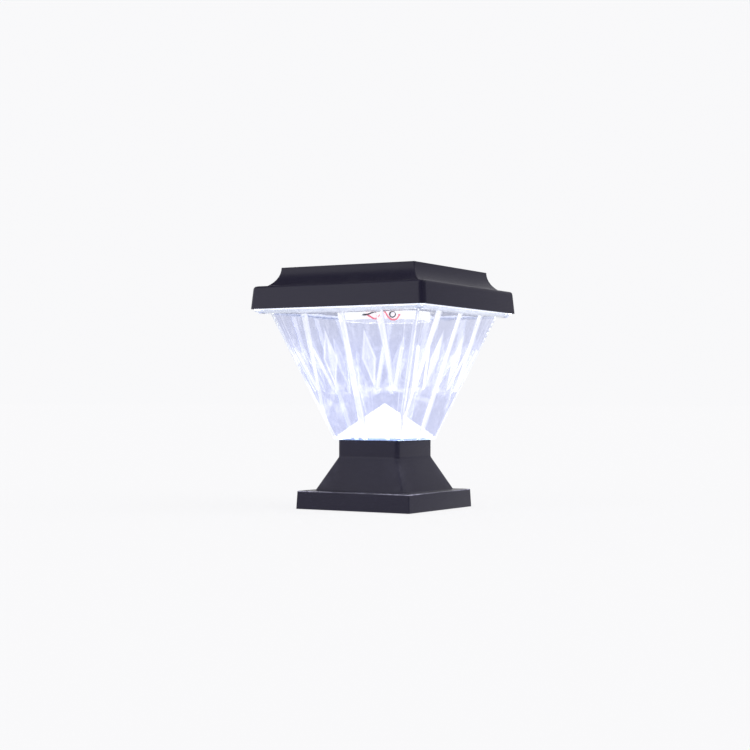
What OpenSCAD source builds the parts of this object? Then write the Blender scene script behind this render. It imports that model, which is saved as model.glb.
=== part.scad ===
// Solar bollard light: stepped black foot, clear flared lampshade with a moulded relief,
// and a coved black cap with a solar panel in its top. It stands on z = 0, centred on the z axis.

/* [Foot and base] */
// Width of the foot where it stands
foot_w = 101.3; // [98:0.1:104]
// Width of the foot at its top edge
foot_top_w = 100; // [97:0.1:101]
// Height of the square foot
foot_h = 14.1; // [12:0.1:18]
// Width of the leaning skirt where it meets the foot
skirt_w = 81.7; // [78:0.1:82]
// Height of the leaning skirt
skirt_h = 26.1; // [22:0.1:34]
// Width of the neck under the lampshade
neck_w = 55; // [52:0.1:57]
// Height of the neck
neck_h = 13.5; // [10:0.1:20]
// Wall of the base moulding
base_wall = 2.2; // [1.8:0.1:2.6]
// Distance between the mounting holes in the foot
mount_pitch = 91; // [90:0.1:91.5]
// Diameter of the mounting holes
mount_hole_d = 4.5; // [3.5:0.1:5]

/* [Lampshade] */
// Outer width of the shade at the neck
shade_low_w = 59.8; // [58:0.1:62]
// Outer width of the shade under its flange
shade_top_w = 132; // [126:0.1:134]
// Height of the flared walls
shade_h = 97.7; // [90:0.1:120]
// Wall of the shade
shade_wall = 2.4; // [2:0.1:2.8]
// Thickness of the shade's floor
shade_floor = 3; // [2.4:0.1:3.6]
// Thickness of the shade's flange
flange_t = 3.4; // [3:0.1:4]
// Height of the lip that enters the cap
lip_h = 2.5; // [2:0.1:4]
// Thickness of that lip
lip_t = 2; // [1.6:0.1:2.4]
// How far the ribs stand out of the walls
rib_depth = 2; // [1:0.1:2.6]
// Width of the rib down the middle of each wall
mid_rib_w = 4.4; // [3:0.1:6]
// Distance of the side ribs from the middle
side_rib_u = 33.4; // [31:0.1:34]
// Height of the relief's lower edge over the neck
relief_low = 38.3; // [34:0.1:42]
// Distance of the diamonds from the middle
diamond_u = 17.3; // [15:0.1:18.5]
// Width of a diamond
diamond_w = 13; // [10:0.1:14]
// Height of a diamond
diamond_h = 45; // [38:0.1:48]

/* [Pyramid reflector] */
// Width of the reflector's foot
reflector_w = 54; // [50:0.1:55]
// Height of the reflector
reflector_h = 25.8; // [23:0.1:32]
// Wall of the reflector
reflector_wall = 1.8; // [1.4:0.1:2.2]

/* [Cap] */
// Width of the cap's lower edge
cap_w = 155; // [153:0.1:158]
// How much narrower the band is at its upper edge
band_draft = 3; // [1:0.1:4]
// Height of the band
band_h = 17.7; // [16:0.1:22]
// Height of the coved roof over the band
cove_h = 15; // [14:0.1:17]
// Width of the flat top
top_w = 118.8; // [117:0.1:122]
// Width of the ledge round the roof
ledge_w = 7.8; // [7:0.1:8.4]
// Wall of the cap
cap_wall = 2; // [1.8:0.1:2.4]
// Thickness of the gasket on the lip
gasket_t = 0.8; // [0.6:0.1:1.4]

/* [Solar panel] */
// Width of the square panel
panel_w = 110; // [104:0.1:111]
// Thickness of the panel's backing board
panel_board_t = 1.6; // [1.2:0.1:2]
// Thickness of the panel's clear cover
panel_cover_t = 1.8; // [1.4:0.1:2]
// Gap round the panel, filled by the seal
seal_gap = 1; // [0.8:0.1:1.4]
// Rows of cell strips
cell_rows = 6; // [4:1:8]
// Gap between neighbouring cell strips
cell_gap = 1.4; // [1:0.1:2]

/* [Ceiling and lamp] */
// Thickness of the ceiling tray
tray_t = 1.8; // [1.5:0.1:2.2]
// Diameter of the lamp housing
lamp_d = 69; // [66:0.5:72]
// Height of the lamp housing
lamp_h = 7.2; // [7:0.1:8]
// Wall of the lamp housing
lamp_wall = 1.6; // [1.4:0.1:2]
// Thickness of the diffuser disc
diffuser_t = 1.2; // [1:0.1:1.4]
// Diameter of the LED board
led_board_d = 48; // [44:0.5:49]
// Thickness of both circuit boards
board_t = 1.2; // [1:0.1:1.6]
// Number of LEDs round the board
led_count = 8; // [4:1:12]
// Radius of the ring of LEDs
led_ring_r = 14; // [10:0.5:18]

/* [Push button] */
// Diameter of the white plunger
button_d = 3.2; // [2.6:0.1:3.4]
// How far the plunger stands out of its bezel
button_out = 1.6; // [1.4:0.1:2.4]
// Travel of the plunger
button_travel = 1; // [0.6:0.1:1.2]
// Outer diameter of the bezel ring
bezel_d = 5.4; // [5:0.1:6]

/* [Battery and control board] */
// Diameter of the battery cell
cell_d = 18.4; // [14:0.1:18.6]
// Length of the battery cell
cell_l = 65; // [50:0.5:70]
// Length of the control board
control_l = 60; // [54:0.5:64]
// Width of the control board
control_w = 24; // [20:0.5:26]

/* [Fasteners and leads] */
// Thread diameter of the larger screws
screw_d = 3; // [2.6:0.1:3.2]
// Thread diameter of the smaller screws
small_screw_d = 2.2; // [1.8:0.1:2.4]
// Diameter of the insulated leads
lead_d = 1.3; // [1:0.1:1.5]

/* [Hidden] */

// Overlap of joined forms
eps = 0.01;
bite = 0.4;

// Fits: room between moulded parts, and how much wider a hole is than what passes it
slip = 0.1;
clear = 0.3;
thread_play = 0.1;
screw_play = 0.4;
small_play = 0.3;
head_play = 0.6;

// Facets of exact round forms and of lofted corners
$fn = 48;
corner_n = 5;

// Levels, from the ground up
z_neck = foot_h + skirt_h;
z_deck = z_neck + neck_h;
z_floor = z_deck + shade_floor;
z_flange = z_deck + shade_h;
z_cap = z_flange + flange_t;
z_lip = z_cap + lip_h;
z_rebate = z_lip + gasket_t;
z_band = z_cap + band_h;
z_top = z_band + cove_h;
z_tray = z_cap + tray_t;

// Colours
black = [0.2, 0.2, 0.23];
white = [0.95, 0.94, 0.9];
steel = [0.75, 0.76, 0.78];
red = [0.75, 0.12, 0.14];
jet = [0.08, 0.08, 0.09];
trim = [0.13, 0.13, 0.14];

// Rounded corners of the mouldings
foot_r = 0.8;
skirt_r = 4;
neck_r = 4;
shade_r = 3;
flange_r = 4;
band_r = 5;
band_edge_r = 1.4;

// Screws: pan heads in proportion to the thread
head_d = screw_d * 2;
head_h = screw_d * 0.62;
small_head_d = small_screw_d * 2;
small_head_h = small_screw_d * 0.62;
deck_screw_u = 14;
deck_screw_bite = 4.4;
band_top_w = cap_w - band_draft;
flange_w = cap_w - 2 * cap_wall;
flange_screw_u = flange_w / 2 - 6.5;
flange_screw_l = 12;
flange_recess = 2;

// Square outline with round corners
module soft_square(w, r) {
    square([w - 2 * r, w], center = true);
    square([w, w - 2 * r], center = true);
    for (x = [-1, 1], y = [-1, 1])
        translate([x * (w / 2 - r), y * (w / 2 - r)])
            circle(r);
}

module soft_slab(w, r, h)
    linear_extrude(h)
        soft_square(w, r);

// Square ring between two soft outlines
module soft_ring(w, r, t, h)
    linear_extrude(h)
        difference() {
            soft_square(w, r);
            soft_square(w - 2 * t, max(r - t, 0.4));
        }

// One level of a loft: the points of a soft square at height z
function ring_points(w, r, z) = [
    for (q = [0:3], i = [0:corner_n])
        let (
            a = 90 * (q + i / corner_n),
            sx = (q == 0 || q == 3) ? 1 : -1,
            sy = q < 2 ? 1 : -1
        )
        [sx * (w / 2 - r) + r * cos(a), sy * (w / 2 - r) + r * sin(a), z]
];

// Solid lofted through levels, each given as [width, corner radius, z]
module loft(levels) {
    n = 4 * (corner_n + 1);
    last = len(levels) - 1;
    points = [for (l = levels) each ring_points(l[0], l[1], l[2])];
    sides = [
        for (k = [0:last - 1], i = [0:n - 1])
            let (a = k * n + i, b = k * n + (i + 1) % n)
            each [[a, a + n, b + n], [a, b + n, b]]
    ];
    low = [for (i = [0:n - 1]) i];
    high = [for (i = [n - 1:-1:0]) last * n + i];
    polyhedron(points, concat(sides, [low, high]));
}

// Copies at the four corners of a square pitch
module at_corners(u)
    for (x = [-u, u], y = [-u, u])
        translate([x, y, 0])
            children();

// Pan head screw with a cross recess: tip up, head below z = 0
module pan_screw(d, l, hd, hh) {
    slot = d * 0.28;
    difference() {
        union() {
            cylinder(d = d, h = l - d * 0.4);
            translate([0, 0, l - d * 0.4])
                cylinder(d1 = d, d2 = d * 0.5, h = d * 0.4);
            translate([0, 0, -hh * 0.5])
                cylinder(d = hd, h = hh * 0.5);
            translate([0, 0, -hh])
                cylinder(d1 = hd * 0.72, d2 = hd, h = hh * 0.5);
        }
        for (a = [0, 90])
            rotate(a)
                translate([-d * 0.45, -slot / 2, -hh - eps])
                    cube([d * 0.9, slot, hh * 0.6]);
    }
}

// Base shell
deck_boss_h = 4;
deck_boss_d = head_d + 3;
foot_boss_d = mount_hole_d + 4;
skirt_slope = (skirt_w - neck_w) / 2 / skirt_h;
skirt_in = base_wall * sqrt(1 + skirt_slope * skirt_slope);
gusset_t = 1.8;
gusset_u = 22;
gusset_low = 3;

module base_outside()
    loft([[foot_w, foot_r, 0], [foot_top_w, foot_r, foot_h], [skirt_w, skirt_r, foot_h],
        [neck_w, neck_r, z_neck], [neck_w, neck_r, z_deck]]);

module base_inside()
    loft([[foot_w - 2 * base_wall, foot_r, -1], [foot_top_w - 2 * base_wall, foot_r, foot_h - base_wall],
        [skirt_w - 2 * skirt_in, skirt_r - 2, foot_h - base_wall],
        [neck_w - 2 * base_wall, neck_r - 2, z_neck - 0.5],
        [neck_w - 2 * base_wall, neck_r - 2, z_deck - base_wall]]);

// Webs between the foot's outer wall and the skirt's lower edge
module foot_gussets() {
    start = skirt_w / 2 - skirt_in + 1;
    reach = foot_top_w / 2 - base_wall / 2 - start;
    for (a = [0:90:270], u = [-gusset_u, gusset_u])
        rotate(a)
            translate([start, u - gusset_t / 2, gusset_low])
                cube([reach, gusset_t, foot_h - base_wall - gusset_low + bite]);
}

module base_shell()
    color(black)
        difference() {
            union() {
                difference() {
                    base_outside();
                    base_inside();
                }
                foot_gussets();
                at_corners(mount_pitch / 2)
                    cylinder(d = foot_boss_d, h = foot_h - base_wall + bite);
                at_corners(deck_screw_u)
                    translate([0, 0, z_deck - base_wall - deck_boss_h])
                        cylinder(d = deck_boss_d, h = deck_boss_h + bite);
            }
            at_corners(mount_pitch / 2)
                translate([0, 0, -1])
                    cylinder(d = mount_hole_d, h = foot_h + 2);
            at_corners(deck_screw_u) {
                translate([0, 0, z_deck - base_wall - deck_boss_h - 1])
                    cylinder(d = screw_d + screw_play, h = base_wall + deck_boss_h + 2);
                translate([0, 0, z_deck - base_wall - deck_boss_h - 1])
                    cylinder(d = head_d + head_play, h = deck_boss_h + 1);
            }
        }

// Screws from inside the base, through the shade's floor, into the reflector
module base_screws()
    color(steel)
        at_corners(deck_screw_u)
            translate([0, 0, z_deck - base_wall])
                pan_screw(screw_d, base_wall + shade_floor + deck_screw_bite, head_d, head_h);

// Lampshade
flare = atan((shade_top_w - shade_low_w) / 2 / shade_h);
shade_in = shade_wall / cos(flare);
function shade_w(h) = shade_low_w + (shade_top_w - shade_low_w) * h / shade_h;
// Distance up the leaning wall at a height over the neck
function up(h) = h / cos(flare);
rib_bite = 0.8;
stroke_w = 2.2;
stroke_rise = 33;
stroke_run = 14.5;
stroke_gap = 1.4;
field_depth = 0.6;

// Frame of each wall's outer face: x across, y up the slope, z outwards
module on_walls()
    for (a = [0:90:270])
        rotate(a)
            translate([0, -shade_low_w / 2, z_deck])
                rotate([90 + flare, 0, 0])
                    children();

// Upright rib from a height over the neck into the flange; it may widen upwards
module wall_rib(u, w_low, w_top, h_low, depth = rib_depth) {
    h_top = shade_h + 1;
    translate([0, 0, -rib_bite])
        linear_extrude(depth + rib_bite)
            polygon([[u - w_low / 2, up(h_low)], [u + w_low / 2, up(h_low)],
                [u + w_top / 2, up(h_top)], [u - w_top / 2, up(h_top)]]);
}

// Slanting rib between two points given as [across, height]
module wall_stroke(p, q) {
    a = [p[0], up(p[1])];
    b = [q[0], up(q[1])];
    turn = atan2(b[1] - a[1], b[0] - a[0]);
    translate([a[0], a[1], -rib_bite])
        rotate(turn)
            translate([0, -stroke_w / 2, 0])
                cube([norm(b - a), stroke_w, rib_depth - 0.3 + rib_bite]);
}

// Faceted diamond: four slopes rise to a point in the middle
module wall_diamond(u, h_mid)
    translate([u, up(h_mid), 0]) {
        half = up(diamond_h) / 2;
        polyhedron(
            [[diamond_w / 2, 0, 0], [0, half, 0], [-diamond_w / 2, 0, 0], [0, -half, 0],
                [0, 0, rib_depth + field_depth],
                [diamond_w / 2, 0, -rib_bite], [0, half, -rib_bite],
                [-diamond_w / 2, 0, -rib_bite], [0, -half, -rib_bite]],
            [[1, 0, 4], [2, 1, 4], [3, 2, 4], [0, 3, 4],
                [0, 1, 6, 5], [1, 2, 7, 6], [2, 3, 8, 7], [3, 0, 5, 8], [5, 6, 7, 8]]);
    }

module shade_relief() {
    rib_low = 0.8;
    on_walls() {
        wall_rib(0, mid_rib_w, mid_rib_w, rib_low);
        wall_rib(0, 2 * side_rib_u, 2 * side_rib_u, relief_low, field_depth);
        for (s = [-1, 1]) {
            wall_rib(s * side_rib_u, 1.6, 5, relief_low);
            wall_diamond(s * diamond_u, relief_low + 2 + diamond_h / 2);
            wall_stroke([s * (side_rib_u - stroke_gap), relief_low + stroke_rise],
                [s * (diamond_u + 2), relief_low + 1.5]);
            wall_stroke([s * (side_rib_u + 0.5), relief_low],
                [s * (side_rib_u + stroke_run), relief_low + stroke_rise]);
        }
    }
}

module lampshade() {
    in_low = shade_w(shade_floor) - 2 * shade_in;
    in_top = shade_top_w - 2 * shade_in;
    in_r = shade_r - 1.6;
    color([0.84, 0.86, 0.95, 0.5])
        difference() {
            union() {
                difference() {
                    union() {
                        loft([[shade_low_w, shade_r, z_deck], [shade_top_w, shade_r, z_flange + eps]]);
                        translate([0, 0, z_flange])
                            soft_slab(flange_w, flange_r, flange_t);
                    }
                    loft([[in_low, in_r, z_floor], [in_top, in_r, z_flange], [in_top, in_r, z_cap + 1]]);
                }
                translate([0, 0, z_cap - eps])
                    soft_ring(flange_w - 2 * slip, flange_r, lip_t, lip_h + eps);
                shade_relief();
            }
            at_corners(deck_screw_u)
                translate([0, 0, z_deck - 1])
                    cylinder(d = screw_d + screw_play, h = shade_floor + 2);
            at_corners(flange_screw_u) {
                translate([0, 0, z_flange - 1])
                    cylinder(d = screw_d + screw_play, h = flange_t + 2);
                translate([0, 0, z_flange - 1])
                    cylinder(d = head_d + head_play, h = flange_recess + 1);
            }
        }
}

// White pyramid that throws the light outwards
plinth_h = 1.2;
reflector_boss_d = screw_d + 3.4;
reflector_hole = 6;

module pyramid_solid(w, h, z)
    loft([[w, 1, z], [w, 1, z + plinth_h], [2.6, 0.9, z + h - 0.7], [1.2, 0.5, z + h]]);

module pyramid_reflector()
    color(white)
        difference() {
            union() {
                difference() {
                    pyramid_solid(reflector_w, reflector_h, z_floor);
                    loft([[reflector_w - 2 * reflector_wall, 0.6, z_floor - 1],
                        [reflector_w - 2 * reflector_wall, 0.6, z_floor + plinth_h],
                        [1.2, 0.4, z_floor + reflector_h - 2 * reflector_wall]]);
                }
                intersection() {
                    pyramid_solid(reflector_w - 1, reflector_h - 0.5, z_floor);
                    at_corners(deck_screw_u)
                        translate([0, 0, z_floor])
                            cylinder(d = reflector_boss_d, h = reflector_h);
                }
            }
            at_corners(deck_screw_u)
                translate([0, 0, z_floor - 1])
                    cylinder(d = screw_d + thread_play, h = reflector_hole);
        }

// Screws that hold the shade and the tray to the cap
module shade_screws()
    color(steel)
        at_corners(flange_screw_u)
            translate([0, 0, z_flange + flange_recess])
                pan_screw(screw_d, flange_screw_l, head_d, head_h);

// Foam gasket between the shade's lip and the cap
module cap_gasket()
    color(jet)
        translate([0, 0, z_lip])
            soft_ring(flange_w - 2 * slip, flange_r, lip_t, gasket_t);

// Lamp housing and its parts
lamp_r = lamp_d / 2;
z_lamp = z_cap - lamp_h;
z_led_board = z_cap - lamp_wall - board_t;
button_turn = -50;
z_button = (z_cap - lamp_wall + z_lamp + diffuser_t) / 2;
lamp_screw_r = lamp_r - 6.5;
lamp_screw_turns = [45, 165, 285];
tray_post_h = 4;
tray_post_d = small_screw_d + 3;
lead_hole_r = lamp_r + 5.5;
lead_hole_turn = -62;
lead_hole_d = 6;
grommet_lip = 1.2;
grommet_t = 0.6;

// Turn of each lead hole in the side of the housing
red_turn = -82.5;
black_turn = -87.5;
switch_turn = -41;

function polar(r, a, z) = [r * cos(a), r * sin(a), z];

// A place on a line square to the button: outwards, sideways, height
function by_button(out, side, z) = [
    out * cos(button_turn) - side * sin(button_turn),
    out * sin(button_turn) + side * cos(button_turn),
    z
];

// Button frame: x becomes the outward direction of the plunger
module on_button()
    translate([0, 0, z_button])
        rotate(button_turn)
            rotate([0, 90, 0])
                children();

switch_l = 6.6;
switch_w = 7;
switch_high = lamp_h - lamp_wall - diffuser_t - 0.3;
switch_out = sqrt(pow(lamp_r - lamp_wall, 2) - pow(switch_w / 2, 2)) - slip;
button_bore_d = button_d + 2 * slip;
bezel_neck_d = button_bore_d + 0.6;
bezel_t = 1;
button_l = 6.2;
button_tip = lamp_r + bezel_t + button_out;

// Ceiling tray
tray_w = flange_w - 2 * slip - 2 * lip_t - 2 * clear;
board_post_h = 3;
control_x = -26;
control_y = -44;
board_screw_x = control_l / 2 - 3;
board_screw_y = control_w / 2 - 3;
battery_y = 40;
holder_wall = 2;
contact_gap = 2;
holder_l = cell_l + 2 * holder_wall + 2 * contact_gap;
holder_w = cell_d + 2 * holder_wall;
holder_h = holder_wall + cell_d * 0.62;
holder_ear = 8;
holder_ear_w = 10;
holder_screw_x = holder_l / 2 + holder_ear / 2;

module at_board_screws()
    for (s = [-1, 1])
        translate([control_x + s * board_screw_x, control_y - s * board_screw_y, 0])
            children();

module at_holder_screws()
    for (s = [-1, 1])
        translate([s * holder_screw_x, battery_y, 0])
            children();

module at_lamp_screws()
    for (a = lamp_screw_turns)
        translate(polar(lamp_screw_r, a, 0))
            children();

module ceiling_tray()
    color(white)
        difference() {
            union() {
                translate([0, 0, z_cap])
                    soft_slab(tray_w, flange_r - lip_t, tray_t);
                translate([0, 0, z_tray - eps]) {
                    at_lamp_screws()
                        cylinder(d = tray_post_d, h = tray_post_h);
                    at_board_screws()
                        cylinder(d = tray_post_d, h = board_post_h);
                    at_holder_screws()
                        cylinder(d = tray_post_d, h = board_post_h);
                }
            }
            at_corners(flange_screw_u)
                translate([0, 0, z_cap - 1])
                    cylinder(d = screw_d + screw_play, h = tray_t + 2);
            translate([0, 0, z_cap - 1]) {
                at_lamp_screws()
                    cylinder(d = small_screw_d + thread_play, h = tray_t + tray_post_h + 2);
                at_board_screws()
                    cylinder(d = small_screw_d + thread_play, h = tray_t + board_post_h + 2);
                at_holder_screws()
                    cylinder(d = small_screw_d + thread_play, h = tray_t + board_post_h + 2);
                translate(polar(lead_hole_r, lead_hole_turn, 0))
                    cylinder(d = lead_hole_d, h = tray_t + 2);
            }
        }

// Rubber ring that lines the lead hole
module lead_grommet()
    color(jet)
        translate(polar(lead_hole_r, lead_hole_turn, 0))
            difference() {
                union() {
                    translate([0, 0, z_cap - grommet_t])
                        cylinder(d = lead_hole_d + 2 * grommet_lip, h = grommet_t);
                    translate([0, 0, z_cap - eps])
                        cylinder(d = lead_hole_d - 0.1, h = tray_t + 2 * eps);
                    translate([0, 0, z_tray])
                        cylinder(d = lead_hole_d + 2 * grommet_lip, h = grommet_t);
                }
                translate([0, 0, z_cap - 2])
                    cylinder(d = lead_hole_d - 1.4, h = tray_t + 4);
            }

module side_hole(turn)
    rotate(turn)
        translate([lamp_r - lamp_wall - 1, 0, z_button])
            rotate([0, 90, 0])
                cylinder(d = lead_d + 0.5, h = lamp_wall + 2);

module lamp_housing()
    color(white)
        difference() {
            translate([0, 0, z_lamp])
                rotate_extrude()
                    polygon([[0, lamp_h], [lamp_r, lamp_h], [lamp_r, 0.5], [lamp_r - 0.5, 0],
                        [lamp_r - lamp_wall / 2, 0], [lamp_r - lamp_wall / 2, diffuser_t],
                        [lamp_r - lamp_wall, diffuser_t], [lamp_r - lamp_wall, lamp_h - lamp_wall],
                        [0, lamp_h - lamp_wall]]);
            at_lamp_screws()
                translate([0, 0, z_cap - lamp_wall - 1])
                    cylinder(d = small_screw_d + small_play, h = lamp_wall + 2);
            for (turn = [red_turn, black_turn, switch_turn])
                side_hole(turn);
            on_button()
                translate([0, 0, lamp_r - lamp_wall - 1])
                    cylinder(d = bezel_neck_d + 0.1, h = lamp_wall + 3);
        }

module lamp_screws()
    color(steel)
        at_lamp_screws()
            translate([0, 0, z_cap - lamp_wall])
                pan_screw(small_screw_d, lamp_wall + tray_t + tray_post_h - 0.6, small_head_d, small_head_h);

module led_board()
    color([0.93, 0.93, 0.9])
        translate([0, 0, z_led_board])
            cylinder(d = led_board_d, h = board_t);

// Flat LEDs: a white frame with a yellow face
led_l = 3.5;
led_w = 2.8;
led_t = 0.9;
module led_chips()
    color([0.98, 0.92, 0.6])
        for (i = [0:led_count - 1])
            rotate(i * 360 / led_count)
                translate([led_ring_r, 0, z_led_board - led_t])
                    difference() {
                        translate([-led_w / 2, -led_l / 2, 0])
                            cube([led_w, led_l, led_t]);
                        translate([0, 0, -eps])
                            cylinder(d = led_w - 0.6, h = 0.25);
                    }

module diffuser()
    color([1, 0.97, 0.86])
        translate([0, 0, z_lamp])
            rotate_extrude()
                polygon([[0, 0.2], [lamp_r - lamp_wall / 2 - 1, 0.2], [lamp_r - lamp_wall / 2 - slip, 0.5],
                    [lamp_r - lamp_wall / 2 - slip, diffuser_t], [0, diffuser_t]]);

// Black ring in the side of the housing, round the plunger
module button_bezel()
    color(jet)
        on_button()
            difference() {
                union() {
                    translate([0, 0, lamp_r])
                        cylinder(d1 = bezel_d, d2 = bezel_d - 0.5, h = bezel_t);
                    translate([0, 0, switch_out + 0.1])
                        cylinder(d = bezel_neck_d, h = lamp_r - switch_out - 0.1 + eps);
                }
                cylinder(d = button_bore_d, h = lamp_r + bezel_t + 1);
            }

module switch_body()
    color(trim)
        difference() {
            on_button()
                translate([-switch_high / 2, -switch_w / 2, switch_out - switch_l])
                    cube([switch_high, switch_w, switch_l]);
            on_button()
                translate([0, 0, button_tip - button_l - button_travel - 0.4])
                    cylinder(d = button_bore_d, h = button_l + 4);
        }

// White plunger that is pressed towards the middle of the lamp
module push_button()
    color(white)
        on_button() {
            translate([0, 0, button_tip - button_l])
                cylinder(d = button_d, h = button_l - 0.3);
            translate([0, 0, button_tip - 0.3])
                cylinder(d1 = button_d, d2 = button_d - 0.6, h = 0.3);
        }

// Leads: smooth tubes swept along points
lead_sides = 8;
lead_steps = 4;

function spline(p0, p1, p2, p3, t) =
    0.5 * (2 * p1 + (p2 - p0) * t + (2 * p0 - 5 * p1 + 4 * p2 - p3) * t * t
        + (3 * p1 - p0 - 3 * p2 + p3) * t * t * t);

function smooth(p) = [
    for (i = [0:len(p) - 2], k = [0:lead_steps - 1])
        spline(p[max(i - 1, 0)], p[i], p[i + 1], p[min(i + 2, len(p) - 1)], k / lead_steps),
    p[len(p) - 1]
];

function unit(v) = v / norm(v);

// Direction of the path at point i
function heading(p, i) = unit(p[min(i + 1, len(p) - 1)] - p[max(i - 1, 0)]);

// Side vectors carried along the path, each kept square to the heading
function carried(p, i = 0, v = [0.36, 0.48, 0.8]) =
    let (t = heading(p, i), s = unit(v - (v * t) * t))
    i == len(p) - 1 ? [s] : concat([s], carried(p, i + 1, s));

module lead(route, shade) {
    p = smooth(route);
    s = carried(p);
    n = lead_sides;
    last = len(p) - 1;
    points = [
        for (i = [0:last], k = [0:n - 1])
            p[i] + lead_d / 2 * (cos(k * 360 / n) * s[i] + sin(k * 360 / n) * cross(heading(p, i), s[i]))
    ];
    sides = [
        for (i = [0:last - 1], k = [0:n - 1])
            let (a = i * n + k, b = i * n + (k + 1) % n)
            each [[a, a + n, b + n], [a, b + n, b]]
    ];
    low = [for (k = [0:n - 1]) k];
    high = [for (k = [n - 1:-1:0]) last * n + k];
    color(shade)
        polyhedron(points, concat(sides, [low, high]));
}

// Height of a lead that lies on the tray, and of the control board's top
z_lie = z_tray + lead_d / 2 + 0.35;
z_board = z_tray + board_post_h;
z_pad = z_board + board_t + lead_d / 2 + 0.02;
pad_x = control_x + control_l / 2;

// Leads in the shared hole stand side by side
hole_step = 1.42;
function in_hole(k, z) = polar(lead_hole_r, lead_hole_turn, z) + [0, (k - 1) * hole_step, 0];

// A lead's end under the LED board
function led_pad(turn) = [
    polar(lamp_r + 0.6, turn, z_button),
    polar(lamp_r - 3.5, turn, z_button),
    polar(led_board_d / 2, turn, z_led_board - lead_d / 2 - 0.1),
    polar(led_board_d / 2 - 2.5, turn, z_led_board - lead_d / 2 - 0.02)
];

// A lead's end on its pad of the control board, coming from the shared hole
pad_in = 4;
pad_pitch = 4;
function pad_y(k) = control_y + pad_in / 2 + k * pad_pitch;
function board_end(k) = [
    [pad_x - pad_in, pad_y(k), z_pad],
    [pad_x, pad_y(k), z_pad + 0.1],
    in_hole(k, z_tray + 4) + [-6, (k - 1) * 1.2, 0],
    in_hole(k, z_tray + 2),
    in_hole(k, z_cap - 0.6)
];

module led_lead_red()
    lead(concat(board_end(1), [
        polar(lead_hole_r, -65, z_cap - 0.62 * lamp_h),
        polar(lead_hole_r - 0.4, -68.5, z_cap - lamp_h),
        polar(lead_hole_r - 1, -73, z_cap - 0.97 * lamp_h),
        polar(lead_hole_r - 1.4, -78, z_cap - 0.7 * lamp_h)],
        led_pad(red_turn)), red);

module led_lead_black()
    lead(concat(board_end(0), [
        polar(lead_hole_r + 2, -66, z_cap - 0.22 * lamp_h),
        polar(lead_hole_r + 2, -71, z_cap - 0.3 * lamp_h),
        polar(lead_hole_r + 1, -77.5, z_cap - 0.55 * lamp_h),
        polar(lead_hole_r - 1.6, -84.5, z_cap - 0.58 * lamp_h)],
        led_pad(black_turn)), jet);

module switch_lead_red()
    lead(concat(board_end(2), [
        polar(lead_hole_r + 0.6, -58.6, z_cap - 0.45 * lamp_h),
        polar(lead_hole_r + 0.4, -55, z_cap - 0.97 * lamp_h),
        polar(lead_hole_r + 0.2, -51, z_cap - 1.14 * lamp_h),
        polar(lead_hole_r - 0.6, -46.5, z_cap - 1.03 * lamp_h),
        polar(lead_hole_r - 2.4, -42.6, z_cap - 0.64 * lamp_h),
        polar(lamp_r + 0.6, switch_turn, z_button),
        polar(lamp_r - 2.2, switch_turn, z_button),
        by_button(switch_out - 4, switch_w / 2 + lead_d / 2 + 0.6, z_button),
        by_button(switch_out - 6, switch_w / 2 + lead_d / 2 + 0.05, z_button)]), red);

// Battery holder, cell, contacts and strap
z_cell = z_board + holder_wall + cell_d / 2;
contact_t = 0.4;
contact_w = 10;
strap_t = 1;
strap_w = 12;

module battery_holder() {
    room = cell_l + 2 * contact_gap;
    color(trim)
        translate([0, battery_y, z_board])
            difference() {
                union() {
                    translate([-holder_l / 2, -holder_w / 2, 0])
                        cube([holder_l, holder_w, holder_h]);
                    for (s = [-1, 1])
                        translate([s * holder_screw_x - holder_ear / 2, -holder_ear_w / 2, 0])
                            cube([holder_ear, holder_ear_w, holder_wall]);
                }
                translate([-room / 2, 0, holder_wall + cell_d / 2])
                    rotate([0, 90, 0])
                        cylinder(d = cell_d + 2 * slip, h = room);
                translate([-room / 2, -cell_d / 2 - slip, holder_wall + cell_d / 2])
                    cube([room, cell_d + 2 * slip, cell_d]);
                for (s = [-1, 1])
                    translate([s * holder_screw_x, 0, -1])
                        cylinder(d = small_screw_d + small_play, h = holder_wall + 2);
            }
}

module holder_screws()
    color(steel)
        at_holder_screws()
            translate([0, 0, z_board + holder_wall])
                rotate([180, 0, 0])
                    pan_screw(small_screw_d, holder_wall + board_post_h + tray_t - 0.8, small_head_d,
                        small_head_h);

module battery_cell()
    color([0.2, 0.45, 0.75])
        translate([-cell_l / 2, battery_y, z_cell])
            rotate([0, 90, 0])
                union() {
                    cylinder(d = cell_d, h = cell_l - 1.2);
                    translate([0, 0, cell_l - 1.2 - eps])
                        cylinder(d = cell_d * 0.45, h = 1.2 + eps);
                }

// Spring plates that press on both ends of the cell
module battery_contacts()
    color(steel)
        for (s = [-1, 1])
            translate([s * (cell_l / 2 + contact_gap), battery_y, z_cell])
                rotate([0, -90 * s, 0])
                    union() {
                        translate([-contact_w / 2, -contact_w / 2, 0])
                            cube([contact_w, contact_w, contact_t]);
                        cylinder(d1 = contact_w * 0.7, d2 = contact_w * 0.4, h = contact_gap - 2 * eps);
                    }

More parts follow.
